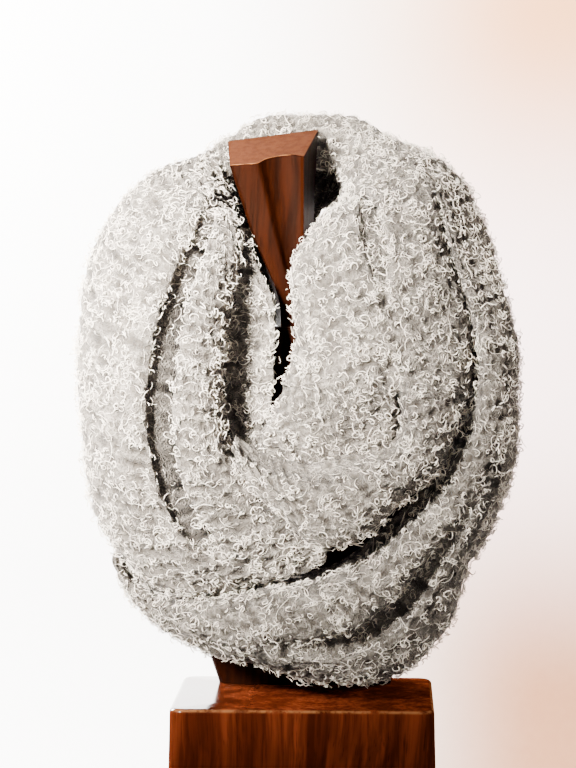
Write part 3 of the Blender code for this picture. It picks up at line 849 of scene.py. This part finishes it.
def wood_material(name, grain, dark, light, worn, gloss, roughness, varnish=None, cut=None):
    """Varnished wood: grain from dark to light, and lighter worn wood by the piece's wear value,
    which is partly real wear and partly a painted highlight along edges.

    varnish: how far left on the block's top a glossy coat starts to show and where it is whole;
    the coat is kept to the left to place a reflection there, a painted reflection.
    cut: the colour where the piece's cut value is 1, which is duller too; it is far lighter than
    the bust wood, as painted light on the top face.
    """
    material, tree, shader, place = new_material(name)
    lines = new_node(tree, "ShaderNodeGroup", {"Vector": place}, node_tree=grain).outputs
    chip = noise_texture(tree, place, 140, 3, 0.6)["Fac"]
    base = mix_colour(tree, lines["Band"], dark, light)
    for title, strength, share in (("Streak", 0.55, 0.35), ("Pore", 0.5, 0.3)):
        factor = times(tree, lines[title], strength)
        base = mix_colour(tree, factor, base, scaled(dark, share))
    rough = math_node(tree, "ADD", times(tree, chip, 0.12), roughness)
    if cut is not None:
        # Painted light: the neck's top takes the much lighter cut colour, and is rougher.
        top = attribute(tree, "cut")
        mottle = mix_colour(tree, lines["Streak"], cut, scaled(cut, 0.72))
        base = mix_colour(tree, top, base, mottle)
        rough = math_node(tree, "ADD", rough, times(tree, top, 0.18))
    # Worn colour by the wear value: partly real wear, partly a painted highlight on edges.
    bare = times(tree, attribute(tree, "wear_and_highlight"), ramp(tree, chip, 0.3, 0.6))
    bump(tree, shader, math_node(tree, "SUBTRACT", lines["Band"], lines["Pore"]), 0.25, 0.0004)
    set_inputs(tree, shader, {
        "Base Color": mix_colour(tree, bare, base, worn), "Roughness": rough,
        "Specular IOR Level": gloss, "Specular Tint": (1.0, 0.72, 0.52),
        "Coat Roughness": 0.12})
    if varnish is not None:
        # Painted reflection: the glossy coat covers only the left of the block's top, so it
        # reflects only there.
        parts = new_node(tree, "ShaderNodeSeparateXYZ", {0: place}).outputs
        reflection_side = ramp(tree, times(tree, parts["X"], -1), *varnish)
        on_top = ramp(tree, parts["Z"], 0.0965, 0.0995)
        set_inputs(tree, shader, {"Coat Weight": times(tree, reflection_side, on_top)})
    return material


def backdrop_material():
    """Pale plaster with painted shade from the lights' falloff: darker and warmer towards the
    right of the wall, deep at its foot, pink above it and tan above that, and pale again far up
    and far out."""
    material, tree, shader, place = new_material("pale_backdrop")
    parts = new_node(tree, "ShaderNodeSeparateXYZ", {0: place}).outputs
    across, depth, up = parts["X"], parts["Y"], parts["Z"]
    grit = noise_texture(tree, place, 60, 3)["Fac"]
    pale = mix_colour(tree, grit, (0.90, 0.89, 0.87), (0.93, 0.92, 0.91))
    # Painted shade: the wall darkens and warms to the right and towards its foot, as the light
    # falls off.
    painted_falloff_shade = mix_colour(tree, grit, (0.28, 0.125, 0.06), (0.32, 0.15, 0.075))
    painted_falloff_shade = mix_colour(tree, ramp(tree, up, -0.57, 0.11), painted_falloff_shade, (0.86, 0.68, 0.66))
    painted_falloff_shade = mix_colour(tree, ramp(tree, up, 0.27, 0.88), painted_falloff_shade, (0.60, 0.29, 0.135))
    share = times(tree, ramp(tree, across, -0.36, 0.39),
                      ramp(tree, depth, 2.5, 3.2))
    for value, starts, whole in ((up, 1.0, 1.8), (across, 0.7, 1.7)):
        beyond = math_node(tree, "SUBTRACT", 1.0, ramp(tree, value, starts, whole))
        share = times(tree, share, beyond)
    set_inputs(tree, shader, {"Base Color": mix_colour(tree, share, pale, painted_falloff_shade),
                              "Roughness": 0.9})
    return material


# ---- Pieces ----


def settings():
    scene = bpy.context.scene
    return scene.scarf_sizes, scene.scarf_colours, scene.stand_sizes, scene.stand_colours


def shared(name, make):
    """A material or node group by name, made the first time that it is asked for."""
    found = bpy.data.materials.get(name) or bpy.data.node_groups.get(name)
    return found or make()


def cloth_materials():
    colours = settings()[1]
    curls = shared("Yarn curls", curl_group)
    ground = shared("loopy_knit_ground", lambda: cloth_material(colours, curls))
    return ground, shared("loopy_knit_yarn", lambda: yarn_material(colours))


# One stretch of the scarf. rows: RollRows, or those with a fold point, the bulges on either side
# of it and how much of its crease shows. nodes: the CAD nodes that it stands for. flat: its
# cut's width and length in metres. slant: how far the knit's rows drift along for each unit
# across. near_hem, far_hem: how the cloth turns back behind edges a and b; a stretch without a
# far hem wraps to the rear. stand: at edges a and b, the share of the loops' stand by which the
# cloth lies inside its outline. fullness: of the front at edge a, at the fold if any, and at
# edge b; 0.4 is a round roll and more opens a crease beside it. loops: the shares across between
# which loops stand, and dense their share of the usual number.
Hem = namedtuple("Hem", "back inward")
FREE, JOINED = Hem(9, 7), Hem(16, -8)
Stretch = namedtuple(
    "Stretch",
    "name rows nodes flat slant near_hem far_hem stand fullness loops dense rests_on troughs",
    defaults=(FREE, None, (1, 1), (0.4, 0.4), (-0.5, 1.93), 1.0, "bust_torso", ()))


def lay_stretches(stretches, seed):
    """Builds each stretch's cloth and its loops, hangs them on the root and hides the CAD parts
    that they stand for. Each stretch draws its strands from a seed of its own, counted up from the
    given one."""
    sizes = settings()[0]
    ground, yarn = cloth_materials()
    for number, stretch in enumerate(stretches):
        cloth, base = cloth_sheet(stretch, sizes, ground)
        loops = strands_of_yarn(stretch, base, sizes, yarn, seed + number)
        for piece in (cloth, *loops):
            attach(piece, "root")
        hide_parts(*stretch.nodes)


def points_of(row, edge):
    return tuple(getattr(row, f"{edge}_{axis}") for axis in "xyz")


def roll_rows(row, a, b, bulge):
    """A wider table's row as the rows of one roll of it."""
    first, second = points_of(row, a), points_of(row, b)
    return (RollRow(*first, *second, getattr(row, bulge), second[1], 0.9),)


def left_rows():
    """The left side as one sheet from the opening's edge, over its crease, to the outer edge."""
    rows = []
    for row, bulge, crease in zip(LEFT_SIDE, LEFT_BULGE, LEFT_CREASE):
        inner, fold, outer = (points_of(row, edge) for edge in ("in", "fold", "out"))
        to_fold = math.dist(inner, fold) / math.dist(inner, outer)
        rows.append((*inner, *outer, bulge, row.rear_y, to_fold + (1 - to_fold) * row.rear_share,
                     *fold, row.bulge_in, row.bulge_out, crease))
    return tuple(rows)


def right_rows():
    """The right side as one sheet from the opening's edge, over its soft crease, to the deep
    one."""
    return tuple(
        (*points_of(row, "in"), *points_of(row, "deep"), bulge, row.deep_y, 0.9,
         *points_of(row, "soft"), row.bulge_in, row.bulge_middle, crease)
        for row, bulge, crease in zip(RIGHT_SIDE, RIGHT_BULGE, RIGHT_CREASE)
    )


def second_turn_rows():
    return tuple(
        (*points_of(row, "top"), *points_of(row, "low"), row.bulge, row.rear_y, row.rear_share,
         *points_of(row, "fold"), row.bulge_top, row.bulge_low, row.crease)
        for row in SECOND_TURN
    )


def first_turn_stretches():
    last = RIGHT_SIDE[-1]
    tuck_rows = roll_rows(last, "in", "soft", "bulge_in") + RIGHT_TUCK
    front_rows = roll_rows(last, "soft", "deep", "bulge_middle") + FRONT_ROLL
    return (
        Stretch("first_turn_left", left_rows(), ["turn_one_left_outer", "turn_one_left_inner"],
                (0.24, 0.39), 0.25, Hem(12, 7), fullness=(0.42, 0.3, 0.4),
                troughs=rows_of(Trough, (
                    (0.04, 0.96, 0.50, 0.50, 5.0, 8.0),
                    (0.02, 0.32, 0.80, 0.86, 9, 5),
                    (0.10, 0.60, 0.68, 0.74, 12, 3),
                    (0.55, 0.88, 0.60, 0.70, 9, 4),
                    (0.62, 0.97, 0.86, 0.78, 8, 4)))),
        Stretch("first_turn_behind_neck", BEHIND_THE_NECK, ["turn_one_behind_neck"],
                (0.13, 0.17), 0.2, rests_on="bust_neck", troughs=rows_of(Trough, (
                    (0.62, 0.98, 0.45, 0.30, 7, 3),
                    (0.05, 0.45, 0.55, 0.70, 8, 2)))),
        Stretch("first_turn_right", right_rows(),
                ["turn_one_right_inner", "turn_one_right_outer"], (0.16, 0.16), 0.45,
                Hem(12, 7), JOINED, (1, 0), (0.42, 0.6, 0.75), (-0.5, 0.99),
                troughs=rows_of(Trough, (
                    (0.16, 0.66, 0.50, 0.50, 6, 6),
                    (0.05, 0.60, 0.78, 0.72, 10, 3),
                    (0.30, 0.75, 0.22, 0.26, 8, 2)))),
        Stretch("first_turn_tuck", tuck_rows, ["turn_one_right_tuck"], (0.10, 0.06), 0.45,
                FREE, JOINED, (1, 0), (0.42, 0.55), (-0.5, 0.99)),
        Stretch("first_turn_front", front_rows, ["front_roll"], (0.10, 0.19), 0.3,
                JOINED, Hem(22, 4), (0, 0.6), (0.5, 0.45), (0.0, 1.4),
                troughs=rows_of(Trough, (
                    (0.10, 0.55, 0.40, 0.45, 7, 2.5),
                    (0.42, 0.95, 0.34, 0.50, 6, 2.5)))),
    )


def second_turn_stretches():
    front_nodes = ["turn_two_right_upper", "turn_two_right_lower", "turn_two_front_upper",
                   "turn_two_front_lower", "turn_two_front_end"]
    return (
        Stretch("second_turn_front", second_turn_rows(), front_nodes, (0.15, 0.52), 0.1,
                Hem(34, -10), None, (0.4, 1), (0.62, 0.6, 0.4), troughs=rows_of(Trough, (
                    (0.02, 0.30, 0.55, 0.45, 9, 3),
                    (0.44, 0.80, 0.50, 0.50, 5.0, 6.5),
                    (0.52, 0.90, 0.78, 0.72, 7, 3),
                    (0.60, 0.85, 0.20, 0.26, 7, 2)))),
        Stretch("second_turn_left", SECOND_TURN_LEFT, ["turn_two_left"], (0.11, 0.22), 0.1,
                loops=(-0.3, 1.93), dense=0.6, troughs=(Trough(0.10, 0.90, 1.35, 1.45, 9, 3),)),
        Stretch("second_turn_back", SECOND_TURN_BACK, ["turn_two_back"], (0.12, 0.22), 0.1,
                loops=(-0.3, 1.93), dense=0.7, troughs=rows_of(Trough, (
                    (0.05, 0.70, 1.25, 1.45, 8, 4),
                    (0.35, 0.95, 1.60, 1.40, 7, 3)))),
    )


def inner_layer_stretch():
    return (
        Stretch("first_turn_inner_layer", INNER_LAYER, ["inner_layer_left"], (0.055, 0.16), 0.2,
                FREE, FREE, (0, 0.5), (0.42, 0.42), (-0.5, 1.97)),
    )


def block_mesh(sizes, material):
    """The block: rounded-rectangle rings, inset r * (1 - cos) round the top and bottom edges.

    A ring is half size + out - corner at each corner plus corner * (cos, sin) of its turn.
    """
    height, edge, foot = sizes.block_height, sizes.block_edge, sizes.block_edge * 0.5
    turns = np.radians(np.linspace(0, 90, 9))
    rise, lean = np.sin(turns), 1 - np.cos(turns)
    sides = np.linspace(foot, height - edge, 60)[1:-1]
    z = np.concatenate([foot * (1 - rise[::-1]), sides, height - edge + edge * rise])
    inset = np.concatenate([foot * lean[::-1], np.zeros(len(sides)), edge * lean])
    out = sizes.block_taper * (1 - z / height) - inset
    steps = 13
    turns = np.radians(np.array([[-90], [0], [90], [180]]) + np.linspace(0, 90, steps)).ravel()
    side = np.repeat([(1, -1), (1, 1), (-1, 1), (-1, -1)], steps, axis=0)
    ring = np.concatenate([side, np.stack([np.cos(turns), np.sin(turns)], axis=1)], axis=1)
    half = np.array([sizes.block_width, sizes.block_depth]) / 2 - sizes.block_corner
    corner = sizes.block_corner + out
    flat = ring[None, :, :2] * half + ring[None, :, 2:] * corner[:, None, None]
    verts = np.concatenate([flat, np.broadcast_to(z[:, None, None], flat.shape[:2] + (1,))], 2)
    return lofted("stand_block", verts, material, {"wear_and_highlight": block_wear_and_highlight(verts, sizes)})


def block_wear_and_highlight(verts, sizes):
    """How worn, and so how much painted highlight: 1 on the rounded top edge, most at the front,
    and less down the corners.
    """
    z = verts[..., 2]
    top = smoothstep(sizes.block_height - sizes.block_edge * 0.8, sizes.block_height - 0.0011, z)
    top *= 1 - smoothstep(sizes.block_height - 0.0007, sizes.block_height - 0.0001, z)
    front = smoothstep(0.0, -0.05, verts[..., 1])
    return (top * (0.35 + 0.65 * front)).ravel()


def lofted(name, rings, material, values):
    """A closed body through rings of points: quads between rings, and a fan at each end."""
    levels, points = rings.shape[:2]
    index = np.arange(levels * points).reshape(levels, points)
    onward = np.roll(index, -1, axis=1)
    quads = np.stack([index[:-1], onward[:-1], onward[1:], index[1:]], axis=2).reshape(-1, 4)
    tris = np.concatenate([quads[:, [0, 1, 2]], quads[:, [0, 2, 3]]])
    low, high = levels * points, levels * points + 1
    foot = np.stack([np.full(points, low), onward[0], index[0]], axis=1)
    head = np.stack([np.full(points, high), index[-1], onward[-1]], axis=1)
    verts = np.concatenate([rings.reshape(-1, 3), [rings[0].mean(axis=0), rings[-1].mean(axis=0)]])
    extra = {k: np.concatenate([v, [v[0], v[-1]]]) for k, v in values.items()}
    obj = new_mesh(name, verts, np.concatenate([tris, foot, head]), material, values=extra)
    obj.data.set_sharp_from_angle(angle=math.radians(SHARP_DEGREES))
    return obj


TorsoRow = namedtuple("TorsoRow", "z left right front back")
TORSO = rows_of(TorsoRow, (
    (100.3, -60, 58, 26, 57),
    (125, -68, 65, 25, 57.5),
    (160, -77, 74, 21, 58),
    (210, -82, 81, 15, 60),
    (260, -83, 84, 11, 61),
    (298, -75, 78, 10, 60),
    (324, -55, 57, 10, 56),
    (338, -33, 32, 11, 51),
    (344.7, -22, 19, 12, 46),
))
NeckRow = namedtuple("NeckRow", "z front_left front_right back_right back_left front back")
NECK = rows_of(NeckRow, (
    (345, -16, 5, 12, -21, 13, 44),
    (360, -17, 1, 9, -22, 9, 44),
    (374, -21, -1, 6, -25, 7, 44),
    (404, -34, -1, 5, -37, 5, 44),
    (428, -42, -1, 6, -46, 5, 45),
    (452, -50, -1, 8, -54, 5, 45),
))
NECK_BACK_RISE = 19.0
NECK_RIGHT_RISE = 6.0
TORSO_SQUARENESS = 0.55
SHARP_DEGREES = 38


def torso_mesh(material):
    """Level superellipse sections: |cos| and |sin| of the turn, raised to TORSO_SQUARENESS."""
    levels, points = 60, 96
    table = smooth_rows(TORSO, np.linspace(0, len(TORSO) - 1, levels))
    turn = np.linspace(-np.pi, np.pi, points, endpoint=False)[None, :]
    z, left, right, front, back = (table[:, k:k + 1] for k in range(5))
    over = np.sign(np.cos(turn)) * np.abs(np.cos(turn)) ** TORSO_SQUARENESS
    deep = np.sign(np.sin(turn)) * np.abs(np.sin(turn)) ** TORSO_SQUARENESS
    x = (left + right) / 2 + (right - left) / 2 * over
    y = (front + back) / 2 + (back - front) / 2 * deep
    rings = np.stack([x, y, np.broadcast_to(z, x.shape)], axis=2) * MM
    wear_and_highlight = np.zeros(x.shape).ravel()
    return lofted("stand_torso", rings, material, {"wear_and_highlight": wear_and_highlight, "cut": wear_and_highlight})


def neck_mesh(material):
    """Four-sided sections that widen upward under a sloping flat cut, hollowed at the front.

    A section rises towards the back and the right by share^2 of the cut's slope, so the top
    one lies in the cut and its hollowed front edge climbs where it sets back.
    """
    levels, last, front_points, side_points = 60, len(NECK) - 1, 44, 14
    table = smooth_rows(NECK, np.append(np.linspace(0, last - 0.02, levels - 1), last))
    share = ((table[:, 0] - table[0, 0]) / (table[-1, 0] - table[0, 0]))[:, None]
    corners = np.stack([
        table[:, [1, 5]], table[:, [2, 5]], table[:, [3, 6]], table[:, [4, 6]], table[:, [1, 5]],
    ], axis=1)
    ring = []
    for k, count in enumerate((front_points, side_points, side_points, side_points)):
        steps = np.linspace(0.03, 0.97, count)[None, :, None]
        ring.append(corners[:, k:k + 1] + (corners[:, k + 1:k + 2] - corners[:, k:k + 1]) * steps)
    ring = np.concatenate(ring, axis=1)
    x, y = ring[..., 0], ring[..., 1].copy()
    front, back = table[:, 5:6], table[:, 6:7]
    left, right = table[:, 1:2], table[:, 2:3]
    place = (x - left) / (right - left)
    y[:, :front_points] += neck_hollow(place[:, :front_points], share)
    up = NECK_BACK_RISE * share**2 * (y - front) / (back - front)
    up += NECK_RIGHT_RISE * share**2 * place
    rings = np.stack([x, y, table[:, :1] + up], axis=2)
    middle = rings[-1].mean(axis=0)
    lid = [rings[-1] + (middle - rings[-1]) * t for t in (0.012, 0.2, 0.6)]
    rings = np.concatenate([rings, lid])
    # The neck's top front edge takes the worn colour: a worn lip and a painted highlight.
    wear_and_highlight = np.zeros(rings.shape[:2])
    wear_and_highlight[levels - 1, :front_points] = 1.0
    cut = np.zeros(rings.shape[:2])
    cut[levels:] = 1.0
    return lofted("stand_neck", rings * MM, material, {"wear_and_highlight": wear_and_highlight.ravel(), "cut": cut.ravel()})


def neck_hollow(place, share):
    """Millimetres back from the neck's front: a ridge from the upper left down to the middle,
    and right of it a scooped hollow that is deepest near the top."""
    ridge = 0.36 + 0.14 * (1 - share)
    right_of = smoothstep(ridge, ridge + 0.12, place)
    scoop = np.sin(np.pi * np.clip((place - ridge) / (1.04 - ridge), 0, 1)) ** 0.7
    lean = 2.0 * (1 - smoothstep(0.0, ridge, place))
    return lean + right_of * (1.5 + 5.5 * scoop * (0.35 + 0.65 * share**1.5))


class SCARF_OT_first_turn(bpy.types.Operator):
    """Build the first turn of the scarf, from the left side round the neck to the front roll"""

    bl_idname = "scarf.first_turn"
    bl_label = "First turn"

    def execute(self, context):
        lay_stretches(first_turn_stretches(), seed=10)
        return {"FINISHED"}


class SCARF_OT_second_turn(bpy.types.Operator):
    """Build the second turn, down the right side, across the front and up behind"""

    bl_idname = "scarf.second_turn"
    bl_label = "Second turn"

    def execute(self, context):
        lay_stretches(second_turn_stretches(), seed=50)
        return {"FINISHED"}


class SCARF_OT_inner_layer(bpy.types.Operator):
    """Build the layer that shows in the opening"""

    bl_idname = "scarf.inner_layer"
    bl_label = "Inner layer"

    def execute(self, context):
        lay_stretches(inner_layer_stretch(), seed=90)
        return {"FINISHED"}


class SCARF_OT_stand(bpy.types.Operator):
    """Build the block and the bust"""

    bl_idname = "scarf.stand"
    bl_label = "Stand"

    def execute(self, context):
        sizes, colours = settings()[2:]
        grain = shared("Wood grain", grain_group)
        # The block's coat lies only on the left of its top: a painted reflection.
        block_wood = wood_material(
            "block_wood", grain, colours.block, colours.block_streak, colours.worn, gloss=0.0,
            roughness=0.4, varnish=(0.025, 0.058))
        bust_wood = wood_material(
            "bust_wood", grain, colours.bust, colours.bust_streak, colours.worn, gloss=0.02,
            roughness=0.5, cut=colours.cut)
        for piece, node, slot in (
            (block_mesh(sizes, block_wood), "base_block", "block_wood"),
            (torso_mesh(bust_wood), "bust_torso", "bust_wood"),
            (neck_mesh(bust_wood), "bust_neck", "bust_wood"),
        ):
            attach(piece, "root")
            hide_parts(node)
        return {"FINISHED"}


class SCARF_OT_stage(bpy.types.Operator):
    """Set the floor, the backdrop, the lights and the camera"""

    bl_idname = "scarf.stage"
    bl_label = "Stage"

    def execute(self, context):
        sweep()
        plinth()
        lights()
        camera()
        return {"FINISHED"}


FLOOR_Z = -1.2


def sweep():
    """A backdrop: y, z along a quarter circle between a straight floor and a straight wall."""
    near, wall_y, radius, height, side = -4.0, 3.4, 0.9, 4.0, 5.0
    bend = np.radians(np.linspace(0, 90, 25))
    y = np.concatenate([[near], wall_y - radius + radius * np.sin(bend), [wall_y]])
    z = FLOOR_Z + np.concatenate([[0.0], radius - radius * np.cos(bend), [height]])
    x = np.array([-side, side])
    verts = np.stack([np.tile(x, len(y)), np.repeat(y, 2), np.repeat(z, 2)], axis=1)
    index = np.arange(len(verts)).reshape(len(y), 2)
    faces = np.stack([index[:-1, 0], index[:-1, 1], index[1:, 1], index[1:, 0]], axis=1)
    new_mesh("backdrop", verts, faces, backdrop_material())


def plinth():
    """A dark box from the floor to just under the block."""
    wood, tree, shader, _ = new_material("dark_plinth")
    set_inputs(tree, shader, {"Base Color": (0.03, 0.012, 0.006), "Roughness": 0.85})
    side, top = 0.2, -0.0005
    ring = np.array([(-side, -side), (side, -side), (side, side), (-side, side)])
    corners = np.array([(x, y, z) for z in (FLOOR_Z, top) for x, y in ring])
    boards = np.array([(3, 2, 1, 0), (4, 5, 6, 7), (0, 1, 5, 4), (1, 2, 6, 5), (2, 3, 7, 6),
                       (3, 0, 4, 7)])
    new_mesh("plinth", corners, boards, wood)


def lights():
    """Two soft-edged spots from the left and in front, one on the left side and one on the upper
    part, a weak window light and fill, and two lights that whiten the backdrop, the left one
    most. The world fills in."""
    for name, place, aim, watts, beam in (
        ("left_spot", (-0.66, -1.0, 0.8), (-0.16, 0, 0.37), 3500, 17),
        ("upper_spot", (-0.66, -1.0, 0.85), (0.07, 0, 0.39), 230, 23),
    ):
        data = bpy.data.lights.new(name, "SPOT")
        data.energy = watts
        data.color = (1.0, 0.975, 0.94)
        data.spot_size = math.radians(beam)
        data.spot_blend = 1.0
        data.shadow_soft_size = 0.2
        place_light(data, place, aim)
    for name, place, aim, size, watts, colour in (
        ("window_light", (-0.85, -0.75, 0.8), (-0.05, 0, 0.36), 0.6, 6, (1.0, 0.975, 0.94)),
        ("front_fill", (0.8, -1.8, 0.8), (0, 0, 0.3), 1.2, 7, (1.0, 0.96, 0.92)),
        ("backdrop_left", (-2.05, 1.7, 1.5), (-0.85, 2.75, 0.15), 1.4, 1150, (1.0, 0.99, 0.98)),
        ("backdrop_right", (2.1, 1.6, 1.7), (0.7, 2.75, 0.3), 1.4, 140, (1.0, 0.88, 0.77)),
    ):
        data = bpy.data.lights.new(name, "AREA")
        data.shape = "DISK"
        data.size = size
        data.energy = watts
        data.color = colour
        place_light(data, place, aim)
    world = bpy.data.worlds.new("soft_room")
    world.use_nodes = True
    sky = world.node_tree.nodes["Background"]
    sky.inputs["Color"].default_value = (1.0, 0.965, 0.93, 1)
    sky.inputs["Strength"].default_value = 0.13
    bpy.context.scene.world = world


def place_light(data, place, aim):
    obj = bpy.data.objects.new(data.name, data)
    bpy.context.scene.collection.objects.link(obj)
    obj.location = place
    obj.rotation_euler = look_angles(np.array(aim, float) - np.array(place, float))


def look_angles(towards):
    """Euler angles that point an object's -Z along a direction, with its X level."""
    x, y, z = towards
    return (math.pi / 2 + math.atan2(z, math.hypot(x, y)), 0, math.atan2(-x, y))


def camera():
    data = bpy.data.cameras.new("camera")
    data.sensor_fit = "VERTICAL"
    data.sensor_height = 36
    data.lens = 110.86
    obj = bpy.data.objects.new("camera", data)
    bpy.context.scene.collection.objects.link(obj)
    obj.location = (0.0534, -1.570, 0.403)
    obj.rotation_euler = (math.pi / 2 - math.radians(3.48), 0, math.radians(2.35))
    bpy.context.scene.camera = obj


class SCARF_PT_panel(bpy.types.Panel):
    """Lists the steps that build the scarf"""

    bl_idname = "SCARF_PT_panel"
    bl_label = "Infinity Scarf"
    bl_space_type = "VIEW_3D"
    bl_region_type = "UI"
    bl_category = "Scarf"

    def draw(self, context):
        for step in STEPS:
            self.layout.operator(step.bl_idname)
        for group_name in ("scarf_sizes", "scarf_colours", "stand_sizes", "stand_colours"):
            values = getattr(context.scene, group_name)
            box = self.layout.box()
            for title in values.__annotations__:
                box.prop(values, title)


STEPS = (
    SCARF_OT_stage, SCARF_OT_stand, SCARF_OT_first_turn, SCARF_OT_second_turn,
    SCARF_OT_inner_layer,
)
GROUPS = {
    "scarf_sizes": ScarfSizes, "scarf_colours": ScarfColours,
    "stand_sizes": StandSizes, "stand_colours": StandColours,
}


def register():
    for kind in (*GROUPS.values(), *STEPS, SCARF_PT_panel):
        bpy.utils.register_class(kind)
    for title, kind in GROUPS.items():
        setattr(bpy.types.Scene, title, PointerProperty(type=kind))


def unregister():
    for title in GROUPS:
        delattr(bpy.types.Scene, title)
    for kind in reversed((*GROUPS.values(), *STEPS, SCARF_PT_panel)):
        bpy.utils.unregister_class(kind)


def main():
    register()
    bpy.ops.scarf.stage()
    bpy.ops.scarf.stand()
    bpy.ops.scarf.first_turn()
    bpy.ops.scarf.second_turn()
    bpy.ops.scarf.inner_layer()


if __name__ == "__main__":
    main()
